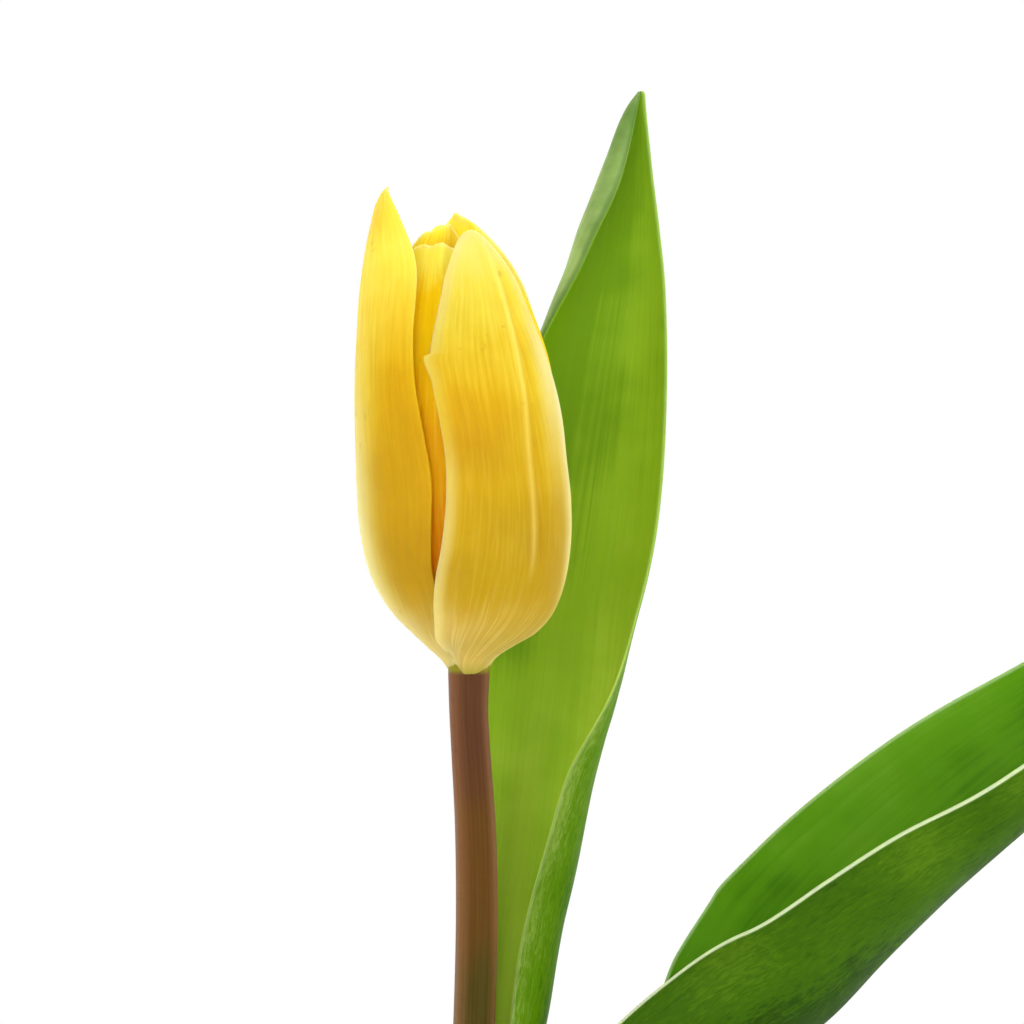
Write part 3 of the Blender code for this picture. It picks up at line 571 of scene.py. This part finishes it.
def petal_material(name, inner):
    """Silky petal: yellow deepens towards the base, on the outer petals partly as painted shade, with
    soft lengthwise streaks, a paler rim and pale patches that are mostly painted sheen, deeper patches
    that are mostly painted shade, and on inner petals a faint glow that is painted light.
    """
    shader = Shader(name)
    margin = shader.field("margin")
    streaks = shader.streaks("share", 24.0, 0.09, 3.0, 0.55, 0.5)
    fine = shader.streaks("share", 90.0, 0.22, 2.0, 0.5)
    mottle = shader.spots(260.0, 3.0, 0.55)
    level = shader.plus(shader.field("level"), shader.spread(streaks, 0.25, 0.75, -3.0, 3.0))
    level = shader.plus(level, shader.spread(shader.spots(80.0, 2.0, 0.5), 0.3, 0.7, -4.0, 4.0))
    if inner:
        colour = shader.ramp(level, INNER_ORANGE, (INNER_GOLD, 14.0, 32.0), (INNER_YELLOW, 32.0, 50.0),
                             (INNER_LEMON, 54.0, 63.0))
        # Painted sheen: a paler rim along the margins
        rim = shader.spread(margin, 0.1, 0.9, 0.45, 0.0)
    else:
        # Darker gold low down: partly the petal's own colour, partly painted shade where less light
        # falls.
        colour = shader.ramp(level, PETAL_FOOT, (PETAL_OCHRE, 0.0, 13.0), (PETAL_GOLD, 12.0, 28.0),
                             (PETAL_YELLOW, 23.0, 48.0), (PETAL_LEMON, 40.0, 57.0),
                             (PETAL_TIP, 52.0, 66.0))
        # Inner faces a lighter lemon: partly their own colour, partly painted light that comes through
        # the petal.
        colour = shader.ramp(shader.field("face"), colour, (INNER_LEMON, 0.6, 1.0, 0.0, 0.75))
        # Painted sheen: a paler rim along the margins as far as the edge field asks, and the pale field's
        # patches, mostly painted sheen and highlight; the feathered streaks near the base are the petal's
        # own colour.
        rim = shader.times(shader.spread(margin, 0.1, 2.4, 1.0, 0.0), shader.field("edge"))
        rim = shader.math("MAXIMUM", rim, shader.field("pale"))
    feather = shader.times(shader.spread(streaks, 0.42, 0.72, 0.0, 0.4),
                           shader.spread(shader.field("along"), 3.0, 13.0, 1.0, 0.12))
    colour = shader.mix(shader.math("MAXIMUM", rim, feather), colour, PETAL_RIM)
    # Painted shade: the warm field deepens and darkens the yellow, mostly where a petal lies in shade.
    colour = shader.mix(shader.field("warm_and_shade"), colour, WARM_TINT, "MULTIPLY")
    colour = shader.ramp(shader.spots(520.0, 1.0, 0.4), colour, (PETAL_FLECK, 0.72, 0.80, 0.0, 0.3))
    colour = shader.mix(shader.field("green"), colour, PETAL_GREEN)
    shade = shader.spread(shader.plus(fine, shader.times(mottle, 0.8)), 0.6, 1.2, 0.0, 0.1)
    colour = shader.mix(shade, colour, DEEP_TINT, "MULTIPLY")
    shader.set(Base_Color=colour, Roughness=shader.spread(mottle, 0.3, 0.7, 0.5, 0.62))
    shader.set(Subsurface_Weight=1.0, Subsurface_Scale=0.002, Subsurface_Radius=(1.0, 0.85, 0.45),
               Specular_IOR_Level=0.05 if inner else 0.1)
    # Painted light: inner petals glow faintly, for the light that comes through the outer petals.
    if inner:
        shader.set(Emission_Color=colour, Emission_Strength=INNER_GLOW)
    grain = shader.plus(streaks, shader.times(fine, 0.5))
    shader.bump(shader.plus(grain, shader.times(mottle, 0.35)), 0.17, 0.0002)
    return shader.material


def petal_thickness(fields):
    """Thin at the margin and the tip, thicker over the midrib and towards the base."""
    body = 0.20 + 0.24 * (1.0 - np.exp(-fields["margin"] / 1.6))
    midrib = 0.12 * bump_at(fields["across"], 0.0, 2.2)
    foot = 0.14 * (1.0 - smooth_step(fields["along"], 2.0, 14.0))
    return np.minimum(body + midrib + foot, 0.68)


def petal_relief(name, points, fields):
    """How far the outer face stands out from the smooth form, in millimetres."""
    along, across = fields["along"], fields["across"]
    margin_fade = smooth_step(fields["margin"], 0.0, 2.0)
    veins = 0.012 * np.cos(fields["share"] * 46.0 + 2.5 * soft_noise(points, 9.0, 1)) * margin_fade
    waves = 0.10 * soft_noise(points, 11.0, 2) + 0.03 * soft_noise(points, 4.0, 3)
    combed = points * np.array([1.0, 1.0, 1.6]) + across[..., None] * np.array([0.0, 0.0, 0.9])
    wrinkles = 0.014 * soft_noise(combed, 1.6, 7)
    relief = veins + (waves + wrinkles - 0.05) * margin_fade
    fade = smooth_step(along, 10.0, 20.0) * (1.0 - smooth_step(along, 58.0, 64.0))
    if name == "petal_outer_front":
        ridge = 0.30 * bump_at(across, 0.1, 0.6) - 0.16 * bump_at(across, -1.6, 1.1)
        second = -0.30 * bump_at(across, 1.6, 0.9)
        relief = relief + (ridge + second) * fade
    if name == "petal_inner_front":
        crease = 0.22 * bump_at(across, 0.5, 0.5) - 0.22 * bump_at(across, 1.6, 0.7)
        relief = relief + crease * smooth_step(along, 30.0, 44.0)
    return relief


def petal_marks(name, fields):
    """Where a petal is a deeper yellow, much of it painted shade, where it is greenish, and how pale its
    margins and sides are, much of that painted sheen and highlight.
    """
    along, across = fields["along"], fields["across"]
    warm_and_shade = np.zeros(along.shape)
    green = 0.6 * (1.0 - smooth_step(along, -0.8, 1.2))
    edge = np.full(along.shape, 0.5)
    pale = np.zeros(along.shape)
    level = along
    if name == "petal_outer_left":
        # A deeper gold over the upper part and the tip: partly the petal's own colour, partly painted
        # shade where its top faces the lights.
        deeper = 10.0 * smooth_step(along, 36.0, 60.0) * (1.0 - 0.4 * smooth_step(across, 1.0, 9.0))
        level = along - deeper - 12.0 * smooth_step(along, 59.0, 67.0)
        # Painted sheen: the rim is pale along the left margin, which is the silhouette, and near the
        # base, faint on the right margin and towards the top.
        edge = np.where(across > 0.0, 0.08, 0.5) + 0.25 * (1.0 - smooth_step(along, 4.0, 16.0))
        edge = edge * (1.0 - 0.7 * smooth_step(along, 46.0, 58.0))
        # Painted sheen: the left half, turning away to the silhouette, is paler.
        pale = 0.85 * smooth_step(-across, -8.0, 1.0) * bump_at(along, 18.0, 22.0)
        pale = pale * (1.0 - 0.6 * smooth_step(-across, 1.0, 7.0)) + 0.11 * bump_at(along, 19.0, 18.0)
        # Painted shade: the right half, turned in towards the gap, is a deeper, darker yellow, for its
        # own shade and the light that comes through it.
        warm_and_shade = (0.9 * smooth_step(across, 3.0, 10.0) * smooth_step(along, 3.0, 13.0)
                * (1.0 - smooth_step(along, 42.0, 58.0)))
        green = green + 0.45 * bump_at(along, 19.5, 0.8) * bump_at(across, -1.5, 0.8)
    if name == "petal_outer_front":
        # Painted shade: the front petal's left half, which faces the key light, is a deeper, darker
        # yellow.
        warm_and_shade = 0.75 * smooth_step(-across, -1.0, 5.0) * bump_at(along, 37.0, 10.0)
        warm_and_shade = warm_and_shade + 0.35 * bump_at(across, 5.0, 4.0) * bump_at(along, 14.0, 11.0)
        on_shaft = smooth_step(along, 10.0, 18.0) * (1.0 - smooth_step(along, 54.0, 60.0))
        # Painted shade: a darker line in the groove beside the ridge.
        warm_and_shade = warm_and_shade + 0.45 * bump_at(across, 1.5, 0.6) * on_shaft
        # Painted light: paler right of the ridge and towards the right margin, where the petal turns to
        # the light and to its silhouette, with a painted highlight along the ridge itself.
        pale = (0.75 * smooth_step(across, 2.5, 7.0) * bump_at(along, 45.0, 12.0)
                + 0.24 * bump_at(across, 0.1, 0.45) * on_shaft
                + 0.65 * smooth_step(across, 7.0, 12.0) * smooth_step(along, 6.0, 14.0))
    if name == "petal_outer_back":
        stripes = bump_at(across, -1.5, 0.5) + bump_at(across, 1.5, 0.5)
        warm_and_shade = 0.8 * stripes * smooth_step(along, 40.0, 50.0) * (1.0 - smooth_step(along, 64.0, 66.0))
        pale = 1.0 * smooth_step(np.abs(across), 1.8, 3.4)
    return {"warm_and_shade": np.clip(warm_and_shade, 0.0, 1.0), "green": np.clip(green, 0.0, 1.0), "edge": edge,
            "pale": pale, "level": level}


def make_petals():
    materials = {kind: petal_material(f"petal_{kind}_silk", kind == "inner")
                 for kind in ("outer", "inner")}
    for name, petal in PETALS.items():
        points, fields = petal_grid(petal)
        normals = surface_normals(points)
        front = points + petal_relief(name, points, fields)[..., None] * normals
        back = front - petal_thickness(fields)[..., None] * normals
        fields.update(petal_marks(name, fields))
        kind = "outer" if "outer" in name else "inner"
        mesh = shell_mesh(f"{name}_blade", front, back, fields, 0.45)
        finish_piece(mesh, materials[kind], name, bloom_matrix())


# A leaf's deep, middle and light green on its two faces, the reaches along it of its waxy bloom, and
# how strongly it is mottled
LEAF_EDGE = srgb(196, 208, 168)
LEAF_WAX = srgb(160, 188, 112)
LEAF_BASE = srgb(156, 186, 88)
LEAF_LOOKS = {
    # The upright leaf's greens are lighter than the right leaf's: painted light, for the light that comes
    # through it from behind.
    "leaf_upright": {
        "inner": (srgb(106, 146, 12), srgb(136, 172, 32), srgb(162, 190, 56)),
        "outer": (srgb(54, 102, 0), srgb(86, 128, 0), srgb(130, 158, 60)),
        "wax": ((112.0, 148.0, 0.0, 1.0), (156.0, 166.0, 1.0, 0.6)), "blotch": 0.26},
    "leaf_right": {
        "inner": (srgb(66, 120, 0), srgb(93, 149, 14), srgb(120, 168, 46)),
        "outer": (srgb(34, 66, 0), srgb(56, 94, 0), srgb(78, 114, 8)),
        "wax": ((150.0, 230.0, 0.0, 0.15),), "blotch": 0.36},
}


def leaf_material(name, look):
    """Tulip leaf: parallel veins, soft mottling, lighter and darker bands that are partly painted light
    and shadow, a thin pale edge and a waxy bloom on the outside.
    """
    shader = Shader(name)
    along = shader.field("along")
    stripes = shader.streaks("share", 22.0, 0.014, 3.0, 0.55, 0.2)
    fine = shader.streaks("share", 110.0, 0.06, 2.0, 0.55)
    cells = shader.streaks("share", 70.0, 0.55, 3.0, 0.65, 0.6)
    patch = shader.spots(170.0, 3.0, 0.6)
    outer = shader.spread(shader.field("face"), 0.55, 0.95)
    level = shader.plus(shader.spread(stripes, 0.25, 0.75, -0.12, 0.12), shader.field("pale"))
    blotch = shader.spread(shader.spots(45.0, 3.0, 0.55), 0.3, 0.7, -look["blotch"], look["blotch"])
    outside = shader.plus(shader.spread(cells, 0.3, 0.7, -0.3, 0.25), shader.field("outer_pale"))
    level = shader.plus(shader.plus(level, blotch), shader.times(outside, outer))
    level = shader.plus(level, shader.spread(fine, 0.3, 0.7, -0.06, 0.06))
    faces = []
    for face in ("inner", "outer"):
        deep, middle, light = look[face]
        faces.append(shader.ramp(level, deep, (middle, -0.6, 0.0), (light, 0.0, 0.8)))
    colour = shader.mix(outer, *faces)
    waxy = shader.times(shader.spread(patch, 0.25, 0.75, 0.55, 1.0), outer)
    waxy = shader.times(waxy, shader.field("wax"))
    for reach in look["wax"]:
        waxy = shader.times(waxy, shader.spread(along, *reach))
    colour = shader.mix(waxy, colour, LEAF_WAX)
    colour = shader.ramp(along, colour, (LEAF_BASE, 1.0, 24.0, 0.75, 0.0))
    rim = shader.times(shader.spread(shader.field("margin"), 0.03, 0.38, 1.0, 0.0), shader.field("edge"))
    colour = shader.mix(rim, colour, LEAF_EDGE)
    shader.set(Base_Color=colour, Roughness=shader.spread(patch, 0.25, 0.75, 0.5, 0.62))
    shader.set(Subsurface_Weight=0.6, Subsurface_Scale=0.001, Subsurface_Radius=(0.6, 1.0, 0.15),
               Specular_IOR_Level=0.06)
    grain = shader.plus(stripes, shader.times(fine, 0.5))
    shader.bump(shader.plus(grain, shader.times(shader.times(cells, outer), 0.7)), 0.2, 0.0002)
    return shader.material


def leaf_thickness(fields):
    """Full at the rim, which shows as a pale line, thickest over the midrib near the base."""
    keel = bump_at(fields["across"], 0.0, 3.0) * (1.0 - smooth_step(fields["along"], 20.0, 110.0))
    return 0.52 + 0.10 * smooth_step(fields["margin"], 1.0, 8.0) + 0.16 * keel


def leaf_relief(points, fields):
    margin_fade = smooth_step(fields["margin"], 0.2, 3.0)
    veins = 0.018 * np.cos(fields["share"] * 62.0 + 0.8 * soft_noise(points, 25.0, 4)) * margin_fade
    waves = 0.22 * soft_noise(points, 24.0, 5) + 0.06 * soft_noise(points, 9.0, 6)
    return veins + waves


def leaf_marks(name, fields):
    """Lighter and deeper bands of a leaf, some of them painted light and shadow, those of its outside
    alone, and how pale its two edges are.
    """
    along, across, share = fields["along"], fields["across"], fields["share"]
    if name == "leaf_upright":
        low = 1.0 - smooth_step(along, 46.0, 104.0)
        pale = (0.2 + 0.5 * low) * smooth_step(share, 0.4, 0.95) - 0.35 * bump_at(share, 0.1, 0.2)
        pale = pale + 0.8 * bump_at(share, 0.98, 0.08) * low
        # Painted light and shadow: lighter low down, and darker over the upper left half, a painted
        # shadow of the bloom.
        pale = pale + 0.95 * low - 1.1 * smooth_step(-share, -0.1, 0.45) * (1.0 - low)
        pale = pale - 0.2 * smooth_step(along, 104.0, 130.0)
        folded = 1.0 - smooth_step(along, 84.0, 108.0)
        outer_pale = folded * (0.1 + 0.5 * bump_at(share, 1.0, 0.12) - pale) - 0.25
        edge = np.where(share > 0.0, 0.16, 0.05)
        wax = 1.0 - 0.6 * smooth_step(-share, 0.92, 1.0)
    else:
        pale = 0.45 * bump_at(share, 0.9, 0.25) - 0.3 * bump_at(across, 0.0, 4.0)
        # Painted highlight: a pale glow near the right margin towards the top.
        pale = pale + 1.6 * bump_at(share, 0.92, 0.14) * smooth_step(along, 112.0, 134.0)
        outer_pale = -0.5 * smooth_step(-share, -0.75, -0.2) - 0.1
        edge = np.where(share > 0.0, 1.0, 0.4)
        wax = np.ones(along.shape)
    return {"pale": pale, "outer_pale": outer_pale, "edge": edge, "wax": wax}


def make_leaves():
    for name, leaf in LEAVES.items():
        points, fields = leaf_grid(leaf)
        normals = surface_normals(points)
        middle = points + leaf_relief(points, fields)[..., None] * normals
        half = 0.5 * leaf_thickness(fields)[..., None] * normals
        fields.update(leaf_marks(name, fields))
        mesh = shell_mesh(f"{name}_blade", middle + half, middle - half, fields, 0.5)
        finish_piece(mesh, leaf_material(f"{name}_skin", LEAF_LOOKS[name]), name)


STEM_BROWN = srgb(84, 47, 25)
STEM_RUSSET = srgb(90, 56, 9)
STEM_OLIVE = srgb(66, 54, 0)
# Painted rim light on the stem's left and right sides
STEM_RIM_LIGHT = srgb(186, 132, 92)
STEM_GREEN = srgb(96, 128, 30)
STEM_PALE = srgb(180, 196, 126)
STEM_COLLAR = srgb(136, 132, 26)
STEM_SPECK = srgb(84, 50, 24)


def stem_material():
    """Purple-brown under the bloom, olive below and fresh green from the leaves down, with painted rim
    light down its left and right sides.
    """
    shader = Shader("stem_skin")
    along, around = shader.field("along"), shader.field("around")
    streaks = shader.streaks("around", 14.0, 0.03, 3.0, 0.6)
    speckle = shader.spots(900.0, 2.0, 0.5)
    cloud = shader.spots(60.0, 2.0, 0.5)
    height = shader.plus(along, shader.spread(cloud, 0.3, 0.7, -5.0, 5.0))
    colour = shader.ramp(height, STEM_OLIVE, (STEM_RUSSET, 212.0, 232.0), (STEM_BROWN, 236.0, 254.0),
                         (STEM_GREEN, 172.0, 204.0, 1.0, 0.0), (STEM_PALE, 20.0, 110.0, 0.75, 0.0))
    colour = shader.ramp(streaks, colour, (STEM_PALE, 0.45, 0.8, 0.0, 0.06))
    # Painted rim light: paler down the left and right sides of the stem.
    colour = shader.ramp(around, colour, (STEM_RIM_LIGHT, 0.1, 1.0, 0.0, 0.3),
                         (STEM_RIM_LIGHT, -1.0, -0.5, 0.26, 0.0))
    colour = shader.ramp(speckle, colour, (STEM_SPECK, 0.55, 0.8, 0.0, 0.25))
    colour = shader.ramp(along, colour, (STEM_COLLAR, 260.6, 261.6), (STEM_PALE, 8.6, 9.6, 0.7, 0.0))
    shader.set(Base_Color=colour, Roughness=shader.spread(cloud, 0.3, 0.7, 0.42, 0.55))
    shader.set(Subsurface_Weight=0.2, Subsurface_Scale=0.001, Subsurface_Radius=(1.0, 0.6, 0.25),
               Specular_IOR_Level=0.08)
    shader.bump(shader.plus(streaks, shader.times(speckle, 0.3)), 0.3, 0.00025)
    return shader.material


def make_stem():
    """The stem with its slanting cut, faint ribs and the receptacle under the bloom."""
    shaft = smooth_curve(STEM, np.linspace(0.0, 1.0, STEM_RINGS), 3)
    into_bloom = bloom_matrix()
    receptacle = [tuple((into_bloom @ Vector((0.0, 0.0, height * MM))) / MM) for height, _ in RECEPTACLE]
    centres = np.vstack([shaft[:, :3], receptacle])
    radii = np.concatenate([shaft[:, 3], [radius for _, radius in RECEPTACLE]])
    tangent = unit(np.gradient(centres, axis=0))
    first = unit(np.cross(tangent, np.array([0.0, 1.0, 0.0])))
    second = np.cross(tangent, first)
    turn = np.linspace(0.0, math.tau, STEM_SIDES, endpoint=False)
    rib_fade = smooth_step(centres[:, 2], *RIBS_FADE)[:, None]
    radius = radii[:, None] * (RIB_GROUND + RIB_DEPTH * np.cos(turn * RIBS)[None] * rib_fade)
    points = (centres[:, None] + (radius * np.cos(turn)[None])[..., None] * first[:, None]
              + (radius * np.sin(turn)[None])[..., None] * second[:, None])
    cut_lift = CUT_SLANT * (1.0 + np.cos(turn + CUT_TURN))[None] * radii[0]
    points[..., 2] += cut_lift * np.clip(1.0 - (points[..., 2] - centres[0, 2]) / CUT_REACH, 0.0, 1.0)
    verts = np.vstack([points.reshape(-1, 3), points[0].mean(axis=0), points[-1].mean(axis=0)])
    fields = {"along": verts[:, 2],
              "around": np.concatenate([np.tile(np.cos(turn), len(points)), [0.0, 0.0]])}
    mesh = mesh_from("flower_stem", verts, tube_faces(*points.shape[:2]), fields)
    finish_piece(mesh, stem_material(), "stem")


def turned_mesh(name, profile, sides):
    """A closed turned mesh; the profile of radius and height starts and ends on the axis."""
    turn = np.linspace(0.0, math.tau, sides, endpoint=False)
    verts = [(r * math.cos(a), r * math.sin(a), z) for r, z in profile[-2:0:-1] for a in turn]
    verts += [(0.0, 0.0, profile[-1][1]), (0.0, 0.0, profile[0][1])]
    return mesh_from(name, verts, tube_faces(len(profile) - 2, sides), {})


def vase_walls():
    """Outer and inner profile of the vase, from the foot up, as radius and height."""
    outer = smooth_curve(VASE_PROFILE, np.linspace(0.0, 1.0, VASE_RINGS), 2)
    tangent = unit(np.gradient(outer, axis=0))
    inner = outer + VASE_WALL * np.stack([-tangent[:, 1], tangent[:, 0]], axis=1)
    return outer, inner[inner[:, 1] > VASE_FLOOR + FLOOR_CORNER_RISE]


def floor_profile(inner, spread):
    """Inside floor with its rounded corner, from the axis out to the wall's first point."""
    wall_radius, wall_height = inner[0]
    rise, run = wall_height - VASE_FLOOR, FLOOR_CORNER_RUN
    points = [(0.0, VASE_FLOOR)]
    points += [(radius, VASE_FLOOR) for radius in np.linspace(4.0, wall_radius - run, 5)]
    points += [(wall_radius - run + run * math.sin(turn), VASE_FLOOR + rise * (1.0 - math.cos(turn)))
               for turn in np.linspace(0.0, math.pi / 2.0, 9)[1:-1]]
    return [(radius + spread * (radius > 0.0), height - spread) for radius, height in points]


def clear_material(name, tint, refraction):
    shader = Shader(name)
    shader.set(Base_Color=tint, Roughness=0.0, IOR=refraction)
    shader.set(Transmission_Weight=1.0, Specular_IOR_Level=0.5)
    return shader.material


def make_vase():
    """The glass: a thick foot with a shallow hollow under it, a thin neck and a rounded lip."""
    outer, inner = vase_walls()
    half_wall = 0.5 * VASE_WALL
    lip_radius, lip_height = 0.5 * (inner[-1, 0] + outer[-1, 0]), VASE_HEIGHT - half_wall
    lip = [(lip_radius + half_wall * math.cos(turn), lip_height + half_wall * math.sin(turn))
           for turn in np.linspace(math.pi, 0.0, 13)]
    inside = [tuple(p) for p in inner if p[1] < lip_height - 0.2]
    outside = [tuple(p) for p in outer[::-1] if 0.9 < p[1] < lip_height - 0.2]
    profile = floor_profile(inner, 0.0) + inside + lip + outside + VASE_FOOT
    finish_piece(turned_mesh("vase_glass", profile, TURNED_SIDES),
                 clear_material("clear_glass", GLASS_TINT, 1.5), "vase")


def make_water():
    """The water meets the glass and climbs a little at the wall."""
    inner = vase_walls()[1]
    wall = [(radius + WATER_OVERLAP, height) for radius, height in inner
            if height < WATER_LEVEL + WATER_AT_WALL]
    wall_radius = np.interp(WATER_LEVEL, inner[:, 1], inner[:, 0])
    radii = np.concatenate([[0.0], np.linspace(2.0, wall_radius - 5.0, 8),
                            np.linspace(wall_radius - 4.5, wall_radius - 0.2, 14)])
    surface = [(radius, WATER_LEVEL + WATER_CLIMB * math.exp((radius - wall_radius) / WATER_CLIMB_REACH))
               for radius in radii]
    profile = surface + wall[::-1] + floor_profile(inner, WATER_OVERLAP)[::-1]
    finish_piece(turned_mesh("vase_water", profile, TURNED_SIDES),
                 clear_material("clear_water", WATER_TINT, 1.333), "water")


def tube_mesh(name, tubes, sides):
    """Closed tubes in one mesh; each has rings of centre, two half widths across and lobes.

    A ring is (centre, first direction, second direction, lobe count, lobe share), its directions
    already as long as the half widths.
    """
    turn = np.linspace(0.0, math.tau, sides, endpoint=False)
    verts, faces = [], []
    for rings in tubes:
        faces += tube_faces(len(rings), sides, len(verts))
        for centre, first, second, lobes, depth in rings:
            swell = 1.0 + depth * np.cos(lobes * turn)
            ring = (np.asarray(centre)[None] + (swell * np.cos(turn))[:, None] * np.asarray(first)[None]
                    + (swell * np.sin(turn))[:, None] * np.asarray(second)[None])
            verts += ring.tolist()
        verts += [rings[0][0], rings[-1][0]]
    return mesh_from(name, verts, faces, {})


# Pistil: height, radius and depth of its three lobes; stamen: reach from the axis, height and radius
PISTIL = [(0.8, 0.4, 0.0), (1.8, 0.5, 0.02), (3.2, 1.0, 0.05), (6.0, 1.5, 0.08), (12.0, 1.6, 0.08),
          (16.5, 1.4, 0.08), (18.2, 1.15, 0.12), (18.7, 1.3, 0.25), (19.1, 1.6, 0.35), (19.5, 1.7, 0.4),
          (19.8, 1.5, 0.4), (19.9, 1.1, 0.35), (19.8, 0.5, 0.2)]
STAMEN = [(0.98, 1.1, 0.34), (1.45, 2.6, 0.32), (2.35, 5.0, 0.30), (2.8, 9.0, 0.27), (3.0, 10.8, 0.2),
          (3.03, 11.1, 0.4), (3.08, 12.0, 0.66), (3.15, 15.2, 0.74), (3.15, 18.0, 0.64),
          (3.12, 19.1, 0.42), (3.1, 19.5, 0.14)]
STAMENS = 6
ANTHER_FROM = 10.9  # height from which a stamen is anther, with four lobes
PISTIL_GREENS = (srgb(178, 190, 96), srgb(214, 220, 140))
STAMEN_YELLOWS = (srgb(196, 142, 24), srgb(244, 206, 80))


def make_inner_parts():
    """Three-lobed pistil and six stamens, hidden in the closed bloom."""
    pistil = Shader("pistil_skin")
    pistil.set(Base_Color=pistil.mix(pistil.spots(700.0, 3.0, 0.6), *PISTIL_GREENS), Roughness=0.5)
    curve = smooth_curve(PISTIL, np.linspace(0.0, 1.0, PISTIL_RINGS), 2)
    rings = [((0.0, 0.0, h), (r, 0.0, 0.0), (0.0, r, 0.0), 3, d) for h, r, d in curve]
    finish_piece(tube_mesh("pistil_body", [rings], PISTIL_SIDES), pistil.material, "pistil",
                 bloom_matrix())
    stamens = Shader("stamen_dust")
    grains = stamens.spots(2600.0, 3.0, 0.7)
    stamens.set(Base_Color=stamens.mix(grains, *STAMEN_YELLOWS), Roughness=0.85)
    stamens.bump(grains, 0.5, 0.0001)
    curve = smooth_curve(STAMEN, np.linspace(0.0, 1.0, STAMEN_RINGS), 2)
    tubes = []
    for turn in np.linspace(0.0, math.tau, STAMENS, endpoint=False):
        sine, cosine = math.sin(turn), math.cos(turn)
        tubes.append([((reach * cosine, reach * sine, h), (0.8 * r * cosine, 0.8 * r * sine, 0.0),
                       (-r * sine, r * cosine, 0.0), 4, 0.1 if h > ANTHER_FROM else 0.0)
                      for reach, h, r in curve])
    finish_piece(tube_mesh("stamen_ring", tubes, STAMEN_SIDES), stamens.material, "stamens",
                 bloom_matrix())


def make_floor():
    """A pale round floor that ends below the photograph's view."""
    bpy.ops.mesh.primitive_circle_add(vertices=96, radius=FLOOR_RADIUS, fill_type="NGON",
                                      location=(0.0, 0.0, 0.0))
    floor = bpy.context.object
    floor.name = "pale_floor"
    shader = Shader("pale_floor")
    shader.set(Base_Color=(0.9, 0.9, 0.9, 1.0), Roughness=0.9)
    floor.data.materials.append(shader.material)


def make_lights():
    for name, (place, size, power, colour) in LIGHTS.items():
        light = bpy.data.lights.new(name, "AREA")
        light.shape = "RECTANGLE"
        light.size, light.size_y = size
        light.energy = power
        light.color = colour
        lamp = add_object(name, light)
        lamp.location = place
        lamp.rotation_mode = "QUATERNION"
        lamp.rotation_quaternion = (Vector(LIGHT_TARGET) - Vector(place)).to_track_quat("-Z", "Y")
        lamp.visible_camera = False


def background(room, strength):
    node = room.add("Background")
    node.inputs["Color"].default_value = (1.0, 1.0, 1.0, 1.0)
    room.put(node.inputs["Strength"], strength)
    return node.outputs[0]


def make_world():
    """White where it is seen, through glass too; its light is dimmer from the front and below."""
    world = bpy.data.worlds.new("white_room")
    bpy.context.scene.world = world
    world.use_nodes = True
    room = Nodes(world.node_tree)
    room.nodes.clear()
    direction = room.add("SeparateXYZ")
    room.put(direction.inputs[0], room.add("TexCoord").outputs["Generated"])
    depth = room.spread(direction.outputs["Y"], *ROOM_DEPTH, shape="LINEAR")
    height = room.spread(direction.outputs["Z"], *ROOM_HEIGHT, shape="LINEAR")
    ray = room.add("LightPath").outputs
    seen = room.math("MAXIMUM", ray["Is Camera Ray"], ray["Is Transmission Ray"])
    chosen = room.add("MixShader")
    lit = background(room, room.times(depth, height))
    room.put_all(chosen.inputs, (seen, lit, background(room, 1.0)))
    room.put(room.add("OutputWorld").inputs["Surface"], chosen.outputs[0])


def make_camera():
    camera = bpy.data.cameras.new("camera")
    camera.lens = CAMERA_LENS
    camera.sensor_width = CAMERA_SENSOR
    camera.clip_start, camera.clip_end = 0.01, 20.0
    holder = add_object("camera", camera)
    holder.location = Vector(CAMERA_PLACE) * MM
    holder.rotation_euler = (math.pi / 2.0, 0.0, 0.0)
    bpy.context.scene.camera = holder


bpy.context.scene.view_settings.view_transform = "Standard"
make_camera()
make_world()
make_lights()
make_floor()
make_vase()
make_water()
make_stem()
make_leaves()
make_petals()
make_inner_parts()
